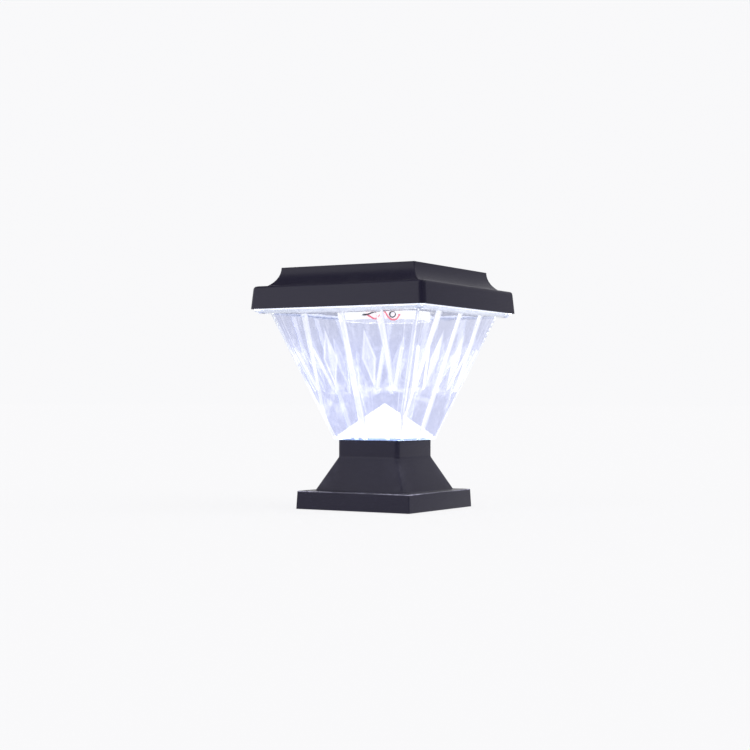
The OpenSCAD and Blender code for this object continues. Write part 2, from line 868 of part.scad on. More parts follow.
// Strap over the cell, hooked on the holder's side walls
module battery_strap() {
    rim = holder_h - holder_wall - cell_d / 2;
    hook = 4;
    color(trim)
        translate([-strap_w / 2, battery_y, z_cell])
            rotate([90, 0, 90])
                linear_extrude(strap_w)
                    difference() {
                        union() {
                            circle(d = cell_d + 2 * slip + 2 * strap_t);
                            translate([-holder_w / 2 - strap_t, rim + 2 * eps])
                                square([holder_w + 2 * strap_t, strap_t]);
                            for (s = [-1, 1])
                                translate([s * (holder_w / 2 + slip / 2 + strap_t / 2) - strap_t / 2, -hook])
                                    square([strap_t, hook + rim + strap_t]);
                        }
                        circle(d = cell_d + 2 * slip);
                        translate([-holder_w / 2 - slip / 2, -cell_d])
                            square([holder_w + slip, cell_d + rim + 2 * eps]);
                    }
}

// A lead's end on a contact plate, and its way over the holder's side wall
function contact_end(s) = [
    [s * (cell_l / 2 + contact_gap - 0.2), battery_y - contact_w / 2 - lead_d / 2, z_cell + 3.6],
    [s * (cell_l / 2 + contact_gap - 0.2), battery_y - contact_w / 2 - 3.6, z_cell + 4.6],
    [s * (cell_l / 2 + contact_gap), battery_y - holder_w / 2 - 1.6, z_cell + 1.8]
];

// Battery leads, from the contacts along the tray to the control board
board_edge_y = control_y + control_w / 2;

// A battery lead's end on the control board, in from its edge
function battery_end(x) = [
    [x, board_edge_y + 4, z_lie + 2.6],
    [x, board_edge_y - 1, z_pad + 0.1],
    [x, board_edge_y - pad_in, z_pad]
];

module battery_lead_red()
    lead(concat(contact_end(-1), [
        [-0.51 * holder_l, battery_y - 0.76 * holder_w, z_lie + 3],
        [-0.56 * holder_l, 0.2 * battery_y, z_lie],
        [control_x - control_l / 3, -0.4 * battery_y, z_lie]],
        battery_end(control_x - 0.35 * control_l)), red);

module battery_lead_black()
    lead(concat(contact_end(1), [
        [0.49 * holder_l, battery_y - 0.76 * holder_w, z_lie + 3],
        [0.41 * holder_l, 0.25 * battery_y, z_lie],
        [0.06 * holder_l, -0.2 * battery_y, z_lie],
        [control_x, board_edge_y + 0.58 * control_w, z_lie]],
        battery_end(control_x - 0.24 * control_l)), jet);

// Control board and what is soldered on it
module control_board()
    color([0.1, 0.4, 0.25])
        difference() {
            translate([control_x - control_l / 2, control_y - control_w / 2, z_board])
                cube([control_l, control_w, board_t]);
            at_board_screws()
                translate([0, 0, z_board - 1])
                    cylinder(d = small_screw_d + small_play, h = board_t + 2);
        }

chip = [9, 7, 1.6];
plug = [7, 6.6, 4];
resistor = [3.2, 1.6, 1];
coil = [6, 3, 2.4];
capacitor_d = 6.3;
capacitor_h = 7;

module board_components() {
    row_x = 8 - control_l / 2;
    color(trim)
        translate([control_x, control_y, z_board + board_t]) {
            translate([-chip[0], 2 - chip[1], 0])
                cube(chip);
            translate([0.2 * control_l, -1, 0])
                cylinder(d = capacitor_d, h = capacitor_h);
            translate([1, 1 - control_w / 2, 0])
                cube(plug);
            for (k = [0:2])
                translate([row_x + k * (resistor[0] + 1.8), 0, 0])
                    cube(resistor);
            translate([row_x, 4 - control_w / 2, 0])
                cube(coil);
        }
}

module board_screws()
    color(steel)
        at_board_screws()
            translate([0, 0, z_board + board_t])
                rotate([180, 0, 0])
                    pan_screw(small_screw_d, board_t + board_post_h + tray_t - 0.8, small_head_d,
                        small_head_h);

// Cap shell. The cove is an arc that leaves the ledge and ends upright at the flat top
ledge_u = band_top_w / 2 - ledge_w;
cove_run = ledge_u - top_w / 2;
cove_r = (cove_run * cove_run + cove_h * cove_h) / (2 * cove_run);
cove_u = top_w / 2 + cove_r;
panel_depth = panel_board_t + panel_cover_t + 0.4;
z_panel = z_top - panel_depth;
recess_w = panel_w + 2 * seal_gap;
cap_boss_d = screw_d + 4.2;
cap_boss_h = 12;
cap_rib_h = 2;
cap_rib_w = tray_w + 2 * slip;
cap_web_t = 2;
seal_hole_d = 7;
seal_lip = 1.2;
seal_x = -20;
seal_y = -12;

// Roof profile between two coves, carried down by drop below the ledge
module cove_profile(half, r, h, drop)
    difference() {
        translate([-half, -drop])
            square([2 * half, h + drop]);
        for (s = [-1, 1])
            translate([s * cove_u, cove_h])
                circle(r, $fn = 96);
    }

// The same profile along x and y: their common part has mitred corners
module cove_block(half, r, h, drop)
    intersection_for(a = [0, 90])
        rotate([90, 0, a])
            translate([0, 0, -half - 1])
                linear_extrude(2 * half + 2)
                    cove_profile(half, r, h, drop);

function band_w(z) = cap_w + (band_top_w - cap_w) * (z - z_cap) / band_h;

// Band with its rounded top edge
module band_solid() {
    edge = [
        for (i = [0:3])
            let (a = i * 30)
            [band_w(z_band) - 2 * band_edge_r * (1 - cos(a)), band_r - band_edge_r * (1 - cos(a)),
                z_band - band_edge_r * (1 - sin(a))]
    ];
    loft(concat([[cap_w, band_r, z_cap]], edge));
}

module cap_inside() {
    z_rib = z_rebate + cap_rib_h;
    z_ceiling = z_band - cap_wall;
    translate([0, 0, z_cap - 1])
        soft_slab(flange_w, flange_r + slip, z_rebate - z_cap + 1);
    translate([0, 0, z_rebate - eps])
        soft_slab(cap_rib_w, flange_r - 1, cap_rib_h + 2 * eps);
    loft([[band_w(z_rib) - 2 * cap_wall, band_r - cap_wall, z_rib],
        [band_w(z_ceiling) - 2 * cap_wall, band_r - cap_wall, z_ceiling]]);
    translate([0, 0, z_band])
        cove_block(ledge_u - cap_wall / 2, cove_r + cap_wall, cove_h - panel_depth - cap_wall,
            cap_wall + eps);
}

// Screw bosses with two webs each, tied to the band's inner walls
module cap_bosses() {
    reach = cap_w / 2 - cap_wall - flange_screw_u + bite;
    web_h = z_tray + cap_boss_h - z_rebate;
    for (a = [0:90:270])
        rotate(a)
            translate([flange_screw_u, flange_screw_u, 0]) {
                translate([0, 0, z_tray])
                    cylinder(d = cap_boss_d, h = cap_boss_h);
                translate([0, -cap_web_t / 2, z_rebate + eps])
                    cube([reach, cap_web_t, web_h]);
                translate([-cap_web_t / 2, 0, z_rebate + eps])
                    cube([cap_web_t, reach, web_h]);
            }
}

module cap_shell()
    color(black)
        difference() {
            union() {
                difference() {
                    union() {
                        band_solid();
                        translate([0, 0, z_band])
                            cove_block(ledge_u, cove_r, cove_h, eps);
                    }
                    cap_inside();
                    translate([0, 0, z_panel])
                        soft_slab(recess_w, 1.5, panel_depth + 1);
                }
                cap_bosses();
            }
            at_corners(flange_screw_u)
                translate([0, 0, z_tray - 1])
                    cylinder(d = screw_d + thread_play, h = cap_boss_h);
            translate([seal_x, seal_y, z_panel - cap_wall - 1])
                cylinder(d = seal_hole_d, h = cap_wall + 2);
        }

// Solar panel: board, strips of cells, ribbons, cover and seal
cell_t = 0.25;
ribbon_t = 0.1;
ribbon_w = 1.5;
cell_margin = 3;
cell_columns = 2;
cell_field = panel_w - 2 * cell_margin;
cell_x = (cell_field - cell_gap * (cell_columns - 1)) / cell_columns;
cell_y = (cell_field - cell_gap * (cell_rows - 1)) / cell_rows;
z_cells = z_panel + panel_board_t;
pocket = cell_t + ribbon_t + 0.05;

module solar_board()
    color([0.9, 0.91, 0.92])
        translate([0, 0, z_panel])
            difference() {
                soft_slab(panel_w, 1, panel_board_t);
                for (s = [-1, 1])
                    translate([seal_x + s * lead_d, seal_y, -1])
                        cylinder(d = lead_d + thread_play, h = panel_board_t - 0.4 + 1);
            }

module solar_cells()
    color([0.07, 0.1, 0.24])
        for (c = [0:cell_columns - 1], r = [0:cell_rows - 1])
            translate([-cell_field / 2 + c * (cell_x + cell_gap), -cell_field / 2 + r * (cell_y + cell_gap),
                z_cells])
                cube([cell_x, cell_y, cell_t]);

// Two ribbons down each column, across all its strips
module cell_ribbons()
    color([0.8, 0.82, 0.85])
        for (c = [0:cell_columns - 1], k = [0.27, 0.73])
            translate([-cell_field / 2 + c * (cell_x + cell_gap) + k * cell_x - ribbon_w / 2,
                -cell_field / 2 + 1, z_cells + cell_t])
                cube([ribbon_w, cell_field - 2, ribbon_t]);

module panel_cover()
    color([0.75, 0.85, 0.95, 0.4])
        translate([0, 0, z_cells])
            difference() {
                soft_slab(panel_w, 1, panel_cover_t);
                translate([-cell_field / 2 - 0.5, -cell_field / 2 - 0.5, -1])
                    cube([cell_field + 1, cell_field + 1, 1 + pocket]);
            }

module panel_seal()
    color(jet)
        translate([0, 0, z_panel])
            soft_ring(recess_w - 0.02, 1.5, seal_gap - 0.02, panel_board_t + panel_cover_t - 0.2);

// Silicone plug round the panel's leads where they pass the cap
module lead_seal()
    color(jet)
        difference() {
            translate([seal_x, seal_y, z_panel - cap_wall - seal_lip])
                union() {
                    cylinder(d = seal_hole_d + 2, h = seal_lip);
                    cylinder(d = seal_hole_d - 2 * eps, h = cap_wall + seal_lip);
                }
            for (s = [-1, 1])
                translate([seal_x + s * lead_d, seal_y, z_panel - cap_wall - 3])
                    cylinder(d = lead_d + thread_play, h = cap_wall + 6);
        }

// Panel leads: straight down through board and seal, then spread to their pads on the control board
function in_seal(s, z) = [seal_x + s * lead_d, seal_y, z];
function panel_route(s) =
    let (x = seal_x + s * pad_pitch)
    [
        in_seal(s, z_panel + panel_board_t - 0.5),
        in_seal(s, z_panel - 1.5),
        in_seal(s, z_panel - cap_wall),
        in_seal(s, z_panel - cap_wall - 2.6),
        [seal_x + s * (lead_d + 1), seal_y - 2, z_panel - 8],
        [x, seal_y - 7, z_panel - 15],
        [x, board_edge_y + 1, z_pad + 3],
        [x, board_edge_y - 1.4, z_pad + 0.4],
        [x, board_edge_y - pad_in, z_pad]
    ];

module panel_lead_red()
    lead(panel_route(-1), red);

module panel_lead_black()
    lead(panel_route(1), jet);

base_shell();
base_screws();
lampshade();
pyramid_reflector();
shade_screws();
cap_gasket();
ceiling_tray();
lead_grommet();
lamp_housing();
lamp_screws();
led_board();
led_chips();
diffuser();
button_bezel();
switch_body();
push_button();
led_lead_red();
led_lead_black();
switch_lead_red();
battery_holder();
holder_screws();
battery_cell();
battery_contacts();
battery_strap();
battery_lead_red();
battery_lead_black();
control_board();
board_components();
board_screws();
cap_shell();
lead_seal();
panel_lead_red();
panel_lead_black();
solar_board();
solar_cells();
cell_ribbons();
panel_cover();
panel_seal();
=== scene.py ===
"""Looks of the solar bollard light: skins with soft edges, finishes, leads, lamps, floor and camera."""

import math

import bpy
import numpy as np
from mathutils import Matrix, Vector


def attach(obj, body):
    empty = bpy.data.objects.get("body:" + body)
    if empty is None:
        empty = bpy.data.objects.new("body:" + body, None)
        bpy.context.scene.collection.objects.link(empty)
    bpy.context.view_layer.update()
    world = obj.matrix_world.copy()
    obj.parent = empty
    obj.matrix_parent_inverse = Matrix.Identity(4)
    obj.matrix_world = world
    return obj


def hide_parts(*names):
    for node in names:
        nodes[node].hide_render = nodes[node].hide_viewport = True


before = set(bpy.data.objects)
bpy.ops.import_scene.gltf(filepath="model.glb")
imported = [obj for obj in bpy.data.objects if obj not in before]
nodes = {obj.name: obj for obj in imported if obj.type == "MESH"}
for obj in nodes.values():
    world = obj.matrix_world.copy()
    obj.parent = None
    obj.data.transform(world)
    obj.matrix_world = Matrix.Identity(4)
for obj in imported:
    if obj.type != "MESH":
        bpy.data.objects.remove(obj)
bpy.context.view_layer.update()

MM = 0.001
PER_M = 1 / MM

# Sizes of the mouldings in millimetres, as the part's source has them
FOOT_W, FOOT_TOP_W, FOOT_H = 101.3, 100.0, 14.1
SKIRT_W, Z_NECK, NECK_W, Z_DECK = 81.7, 40.2, 55.0, 53.7
BASE_WALL, SKIRT_WALL = 2.2, 2.47
MOUNT_U, MOUNT_HOLE_R, MOUNT_BOSS_R, GUSSET_U, GUSSET_T = 45.5, 2.25, 4.25, 22, 1.8
DECK_SCREW_U, DECK_BOSS_R, DECK_BOSS_H = 14.0, 4.5, 4.0
SHADE_LOW_W, SHADE_TOP_W, SHADE_WALL, Z_FLOOR, Z_FLANGE = 59.8, 132.0, 2.56, 56.7, 151.4
FLANGE_W, Z_CAP, LIP_H, LIP_T = 151.0, 154.8, 2.5, 2.0
FLANGE_SCREW_U, SCREW_HOLE_R, HEAD_HOLE_R = 69.0, 1.7, 3.3
CAP_W, BAND_TOP_W, Z_BAND, Z_TOP, CAP_WALL = 155.0, 152.0, 172.5, 187.5, 2.0
LEDGE_HALF, TOP_HALF, Z_REBATE, Z_PANEL = 68.2, 59.4, 158.1, 183.7
RECESS_HALF, RIB_HALF, Z_RIB, Z_TRAY = 56.0, 73.3, 160.1, 156.6
BAND_IN_LOW, BAND_IN_TOP, FLANGE_R, CAP_R = 75.05, 74.17, 4.1, 5.0
CAP_BOSS_R, CAP_PILOT_R, CAP_BOSS_H, SEAL_HOLE_R = 3.6, 1.55, 12.0, 3.5
PANEL_LEAD_X, PANEL_LEAD_Y = -20.0, -12.0
REFLECTOR_W, REFLECTOR_H = 54.0, 25.8
LAMP_R = 34.5
RELIEF_LOW, SIDE_RIB_U, DIAMOND_U = 38.3, 33.4, 17.3

# Where the painted highlight on the foot's top edge begins to grow, from the middle of a side
EDGE_HIGHLIGHT_FROM = 18.0


# Mesh making

def piece(name, verts, faces):
    """A new piece of the light from points in millimetres."""
    mesh = bpy.data.meshes.new(name)
    mesh.from_pydata([tuple(c * MM for c in v) for v in verts], [], faces)
    mesh.validate()
    made = bpy.data.objects.new(name, mesh)
    bpy.context.scene.collection.objects.link(made)
    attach(made, "light")
    return made


def soften(profile):
    """Rounds the corners of a profile, each place as (half width, corner radius, height, rounding).

    A guard ring on each side of a rounding keeps the faces beside it flat."""
    guard, steps = 0.3, 3
    out = []
    for i, (half, radius, z, rounding) in enumerate(profile):
        here = Vector((half, radius, z))
        if rounding == 0 or i in (0, len(profile) - 1):
            out.append(tuple(here))
            continue
        sides, guards = [], []
        for j in (i - 1, i + 1):
            there = Vector(profile[j][:3])
            length = math.hypot(there.x - here.x, there.z - here.z)
            sides.append(here.lerp(there, min(rounding / length, 0.4)))
            guards.append(here.lerp(there, min((rounding + guard) / length, 0.45)))
        out.append(tuple(guards[0]))
        for k in range(steps + 1):
            t = k / steps
            out.append(tuple(sides[0].lerp(here, t).lerp(here.lerp(sides[1], t), t)))
        out.append(tuple(guards[1]))
    return out


def outline(half, radius, across, corner):
    """Points round a square with round corners, one wall and its corner after another."""
    radius = min(radius, half)
    flat = half - radius
    points = []
    for wall in range(4):
        turn = Matrix.Rotation(wall * math.pi / 2, 2)
        for i in range(across + 1):
            u = flat * (2 * i / across - 1)
            points.append(turn @ Vector((u, -half)))
        for i in range(1, corner):
            a = math.pi / 2 * i / corner
            corner_point = Vector((flat + radius * math.sin(a), -flat - radius * math.cos(a)))
            points.append(turn @ corner_point)
    return points


def loft(name, levels, corner=8):
    """A closed skin through levels given as (half width, corner radius, height), capped at both ends."""
    verts = []
    for half, radius, z in levels:
        verts += [(p.x, p.y, z) for p in outline(half, radius, 1, corner)]
    n = 4 * (1 + corner)
    faces = []
    for k in range(len(levels) - 1):
        for i in range(n):
            a, b = k * n + i, k * n + (i + 1) % n
            faces.append((a, b, b + n, a + n))
    faces.append(tuple(range(n - 1, -1, -1)))
    last = (len(levels) - 1) * n
    faces.append(tuple(last + i for i in range(n)))
    return piece(name, verts, faces)


def rod(radius, z0, z1, x, y):
    """A short round bar along z, as points and faces."""
    sides = 40
    turns = [2 * math.pi * i / sides for i in range(sides)]
    verts = [(x + radius * math.cos(a), y + radius * math.sin(a), z) for z in (z0, z1) for a in turns]
    faces = [(i, (i + 1) % sides, sides + (i + 1) % sides, sides + i) for i in range(sides)]
    return verts, faces + [tuple(range(sides - 1, -1, -1)), tuple(range(sides, 2 * sides))]


def bar(x0, x1, y0, y1, z0, z1, quarter):
    """A straight web, turned about the middle by quarters of a turn."""
    verts = [(x, y, z) for z in (z0, z1) for x, y in ((x0, y0), (x1, y0), (x1, y1), (x0, y1))]
    turn = Matrix.Rotation(quarter * math.pi / 2, 3, "Z")
    verts = [tuple(turn @ Vector(v)) for v in verts]
    return verts, [(3, 2, 1, 0), (4, 5, 6, 7), (0, 1, 5, 4), (1, 2, 6, 5), (2, 3, 7, 6), (3, 0, 4, 7)]


def combine(made, shapes, how, solver="EXACT"):
    """Joins shapes to a piece or cuts them from it, and keeps one clean mesh."""
    tools = []
    for verts, faces in shapes:
        mesh = bpy.data.meshes.new("tool")
        mesh.from_pydata([tuple(c * MM for c in v) for v in verts], [], faces)
        tool = bpy.data.objects.new("tool", mesh)
        bpy.context.scene.collection.objects.link(tool)
        change = made.modifiers.new("combine", "BOOLEAN")
        change.operation, change.solver, change.object = how, solver, tool
        tools.append(tool)
    ready = made.evaluated_get(bpy.context.evaluated_depsgraph_get())
    mesh = bpy.data.meshes.new_from_object(ready)
    made.modifiers.clear()
    made.data = mesh
    for tool in tools:
        bpy.data.objects.remove(tool)


def smooth(made, angle=32):
    """Smooth shading that keeps edges sharper than the angle."""
    made.data.shade_smooth()
    made.data.set_sharp_from_angle(angle=math.radians(angle))


def rods(u, radius, z0, z1):
    """Four upright round bars, at a distance u from both middle planes."""
    return [rod(radius, z0, z1, x, y) for x in (-u, u) for y in (-u, u)]


# Effects that several finishes share

def effect(name, inputs, outputs):
    """A new shader node group with named sockets."""
    tree = bpy.data.node_groups.new(name, "ShaderNodeTree")
    for label, kind, value in inputs:
        socket = tree.interface.new_socket(name=label, in_out="INPUT", socket_type=kind)
        socket.default_value = value
    for label, kind in outputs:
        tree.interface.new_socket(name=label, in_out="OUTPUT", socket_type=kind)
    return tree, tree.nodes.new("NodeGroupInput"), tree.nodes.new("NodeGroupOutput")


def add(tree, kind, links=None, **values):
    """A node with its plain settings, its socket values and its incoming links."""
    node = tree.nodes.new(kind)
    for key, value in values.items():
        if key in node.inputs:
            node.inputs[key].default_value = value
        else:
            setattr(node, key, value)
    for socket, source in (links or {}).items():
        tree.links.new(source, node.inputs[socket])
    return node


def figure(tree, operation, a, b=None, clamp=False):
    """A Math node; a and b are numbers or sockets."""
    node = tree.nodes.new("ShaderNodeMath")
    node.operation, node.use_clamp = operation, clamp
    for i, value in enumerate((a, b)):
        if value is None:
            continue
        if isinstance(value, (int, float)):
            node.inputs[i].default_value = value
        else:
            tree.links.new(value, node.inputs[i])
    return node.outputs[0]


def rise(tree, value, start, slope):
    """0 below the start, from there up by the slope, at most 1."""
    return figure(tree, "MULTIPLY", figure(tree, "SUBTRACT", value, start), slope, clamp=True)


def fall(tree, value, end, slope):
    """0 above the end, below it up by the slope, at most 1."""
    return figure(tree, "MULTIPLY", figure(tree, "SUBTRACT", end, value), slope, clamp=True)


def away(tree, value, place):
    """How far a value is from a place, either way."""
    return figure(tree, "ABSOLUTE", figure(tree, "SUBTRACT", value, place))


def within(tree, value, slope, top=1.0):
    """The top at 0, down by the slope, held between 0 and 1."""
    return figure(tree, "SUBTRACT", top, figure(tree, "MULTIPLY", value, slope), clamp=True)


def product(tree, *values):
    """All the values multiplied."""
    made = values[0]
    for value in values[1:]:
        made = figure(tree, "MULTIPLY", made, value)
    return made


def on_piece(tree):
    """Where each point of the piece is, in metres."""
    return add(tree, "ShaderNodeTexCoord").outputs["Object"]


def axes_of(tree, place):
    """The X, Y and Z of a place."""
    return add(tree, "ShaderNodeSeparateXYZ", {0: place}).outputs


FLOAT, COLOUR = "NodeSocketFloat", "NodeSocketColor"


def make_moulding():
    """Injection moulded surface: fine grain, faint flow marks and slightly uneven gloss and tone."""
    tree, given, result = effect(
        "Moulding",
        [("Colour", COLOUR, (0.5, 0.5, 0.5, 1)), ("Grain size", FLOAT, 0.6), ("Gloss", FLOAT, 0.4),
         ("Unevenness", FLOAT, 0.08), ("Tone change", FLOAT, 0.1)],
        [("Colour", COLOUR), ("Roughness", FLOAT), ("Height", FLOAT)])
    place = on_piece(tree)
    scale = figure(tree, "DIVIDE", PER_M, given.outputs["Grain size"])
    grain = add(tree, "ShaderNodeTexNoise", {"Vector": place, "Scale": scale}, Detail=2.0, Roughness=0.55)
    flow = add(tree, "ShaderNodeTexNoise", {"Vector": place}, Scale=38.0, Detail=3.0, Distortion=0.6)
    handling = add(tree, "ShaderNodeTexNoise", {"Vector": place}, Scale=140.0, Detail=5.0, Roughness=0.7)
    height = figure(tree, "ADD", grain.outputs["Fac"], product(tree, flow.outputs["Fac"], 2.0))
    marks = figure(tree, "ADD", product(tree, flow.outputs["Fac"], 0.5),
                   product(tree, handling.outputs["Fac"], 0.5))
    centred = product(tree, figure(tree, "SUBTRACT", marks, 0.5), 2.0)
    rough = figure(tree, "ADD", given.outputs["Gloss"], product(tree, centred, given.outputs["Unevenness"]),
                   clamp=True)
    tone = figure(tree, "ADD", 1.0, product(tree, centred, given.outputs["Tone change"]))
    tinted = add(tree, "ShaderNodeVectorMath", {0: given.outputs["Colour"], 1: tone}, operation="MULTIPLY")
    tree.links.new(tinted.outputs[0], result.inputs["Colour"])
    tree.links.new(rough, result.inputs["Roughness"])
    tree.links.new(height, result.inputs["Height"])
    return tree


def make_dust():
    """Thin dust that settles on what faces up: a mask from 0 to 1."""
    tree, given, result = effect(
        "Settled dust", [("Amount", FLOAT, 0.3), ("Patch size", FLOAT, 12.0)], [("Mask", FLOAT)])
    place = on_piece(tree)
    facing = axes_of(tree, add(tree, "ShaderNodeNewGeometry").outputs["Normal"])["Z"]
    scale = figure(tree, "DIVIDE", PER_M, given.outputs["Patch size"])
    patches = add(tree, "ShaderNodeTexNoise", {"Vector": place, "Scale": scale}, Detail=6.0, Roughness=0.65)
    specks = add(tree, "ShaderNodeTexNoise", {"Vector": place}, Scale=2600.0, Detail=1.0)
    up = rise(tree, facing, 0.35, 1.6)
    cover = product(tree, patches.outputs["Fac"], specks.outputs["Fac"])
    mask = figure(tree, "MULTIPLY", product(tree, up, cover), given.outputs["Amount"], clamp=True)
    tree.links.new(mask, result.inputs["Mask"])
    return tree


def make_scuffs_and_highlights():
    """Faint lighter patches near the skirt's ridges, partly scuffs and partly a painted highlight, and a
    painted highlight on the foot's top edge, lighter towards its corners.
    """
    tree, given, result = effect("Scuffs and painted highlights", [("Amount", FLOAT, 0.3)], [("Mask", FLOAT), ("Painted edge highlight", FLOAT)])
    place = on_piece(tree)
    axes = axes_of(tree, place)
    height = axes["Z"]
    sides = [figure(tree, "ABSOLUTE", axes[name]) for name in ("X", "Y")]
    # Lighter patches near the skirt's ridges: partly scuffs, partly a painted highlight on the ridges
    ridge = within(tree, away(tree, *sides), 60.0)
    low = fall(tree, height, (Z_NECK - 1) * MM, 120.0)
    high = rise(tree, height, (FOOT_H + 0.5) * MM, 400.0)
    drawn = add(tree, "ShaderNodeMapping", {"Vector": place}, Scale=(1.0, 1.0, 0.3)).outputs[0]
    cloud = add(tree, "ShaderNodeTexNoise", {"Vector": drawn}, Scale=150.0, Detail=6.0, Roughness=0.7)
    cloud = cloud.outputs["Fac"]
    ridge_marks_and_highlight = product(tree, rise(tree, cloud, 0.42, 3.0), product(tree, low, high, ridge))
    mask = figure(tree, "MULTIPLY", ridge_marks_and_highlight, given.outputs["Amount"], clamp=True)
    tree.links.new(mask, result.inputs["Mask"])
    # A painted highlight along the foot's top edge, lighter towards its corners
    rim = rise(tree, figure(tree, "MAXIMUM", *sides), (FOOT_TOP_W / 2 - 1) * MM, 2500.0)
    level = product(tree, within(tree, away(tree, height, FOOT_H * MM), 2000.0, 1.6), rim)
    corner = figure(tree, "ADD", rise(tree, figure(tree, "MINIMUM", *sides), EDGE_HIGHLIGHT_FROM * MM, 30.0), 0.35)
    edge_highlight = product(tree, level, rise(tree, cloud, 0.3, 4.0))
    tree.links.new(figure(tree, "MULTIPLY", edge_highlight, corner, clamp=True), result.inputs["Painted edge highlight"])
    return tree


MOULDING, DUST, SCUFFS_AND_HIGHLIGHTS = make_moulding(), make_dust(), make_scuffs_and_highlights()


def finish(name):
    """A new material with its shader; returns the material, its tree and the shader."""
    material = bpy.data.materials.new(name)
    material.use_nodes = True
    tree = material.node_tree
    return material, tree, tree.nodes["Principled BSDF"]


def use(tree, group, **values):
    """A shared effect in a finish, with its values."""
    node = tree.nodes.new("ShaderNodeGroup")
    node.node_tree = group
    for key, value in values.items():
        node.inputs[key.replace("_", " ")].default_value = value
    return node


def bump(tree, shader, height, depth):
    """Feeds a height, in millimetres of depth, to the shader's normal."""
    node = add(tree, "ShaderNodeBump", {"Height": height}, Strength=1.0, Distance=depth * MM)
    tree.links.new(node.outputs["Normal"], shader.inputs["Normal"])


def paint(made, material):
    """Gives a piece or a CAD node one finish, as its only material."""
    made.data.materials.clear()
    made.data.materials.append(material)


def blend(tree, factor, a, b):
    """Mixes two colours; each is a plain colour or a socket."""
    node = tree.nodes.new("ShaderNodeMix")
    node.data_type = "RGBA"
    for i, value in ((0, factor), (6, a), (7, b)):
        if isinstance(value, bpy.types.NodeSocket):
            tree.links.new(value, node.inputs[i])
        else:
            node.inputs[i].default_value = value
    return node.outputs[2]


def plastic(name, colour, gloss, grain=0.6, depth=0.012, dust=0.0, level=0.5, glow=None, scuffs_and_highlights=0.0,
            sheen=0.0):
    """Moulded plastic or rubber in one colour; glow is the colour and strength of light it gives off, painted
    lamp light on parts that are no lamps; the scuff setting adds scuffs and painted highlights.
    """
    material, tree, shader = finish(name)
    skin = use(tree, MOULDING, Colour=(*colour, 1), Grain_size=grain, Gloss=gloss, Unevenness=0.08,
               Tone_change=0.1)
    surface, rough = skin.outputs["Colour"], skin.outputs["Roughness"]
    # Scuff marks and a painted highlight on the skirt's ridges, and a painted highlight on the foot's top
    # edge
    if scuffs_and_highlights:
        marks = use(tree, SCUFFS_AND_HIGHLIGHTS, Amount=scuffs_and_highlights)
        ridge_marks_and_highlight = marks.outputs["Mask"]
        surface = blend(tree, ridge_marks_and_highlight, surface, RIDGE_SCUFF_AND_HIGHLIGHT_TONE)
        surface = blend(tree, marks.outputs["Painted edge highlight"], surface, EDGE_HIGHLIGHT_TONE)
        rough = figure(tree, "ADD", rough, product(tree, ridge_marks_and_highlight, 0.3), clamp=True)
    if dust:
        settled = use(tree, DUST, Amount=dust).outputs["Mask"]
        surface = blend(tree, settled, surface, DUST_TONE)
        rough = figure(tree, "ADD", rough, product(tree, settled, 0.4), clamp=True)
    tree.links.new(surface, shader.inputs["Base Color"])
    tree.links.new(rough, shader.inputs["Roughness"])
    shader.inputs["Specular IOR Level"].default_value = level
    shader.inputs["Sheen Weight"].default_value = sheen
    shader.inputs["Sheen Roughness"].default_value = 0.25
    if glow:
        shader.inputs["Emission Color"].default_value = (*glow[0], 1)
        shader.inputs["Emission Strength"].default_value = glow[1]
    bump(tree, shader, skin.outputs["Height"], depth)
    return material


def metal(name, colour, gloss):
    """Plated metal with fine drawing marks and uneven gloss."""
    material, tree, shader = finish(name)
    skin = use(tree, MOULDING, Colour=(*colour, 1), Grain_size=0.25, Gloss=gloss, Unevenness=0.15,
               Tone_change=0.12)
    tree.links.new(skin.outputs["Colour"], shader.inputs["Base Color"])
    tree.links.new(skin.outputs["Roughness"], shader.inputs["Roughness"])
    shader.inputs["Metallic"].default_value = 1.0
    bump(tree, shader, skin.outputs["Height"], 0.006)
    return material


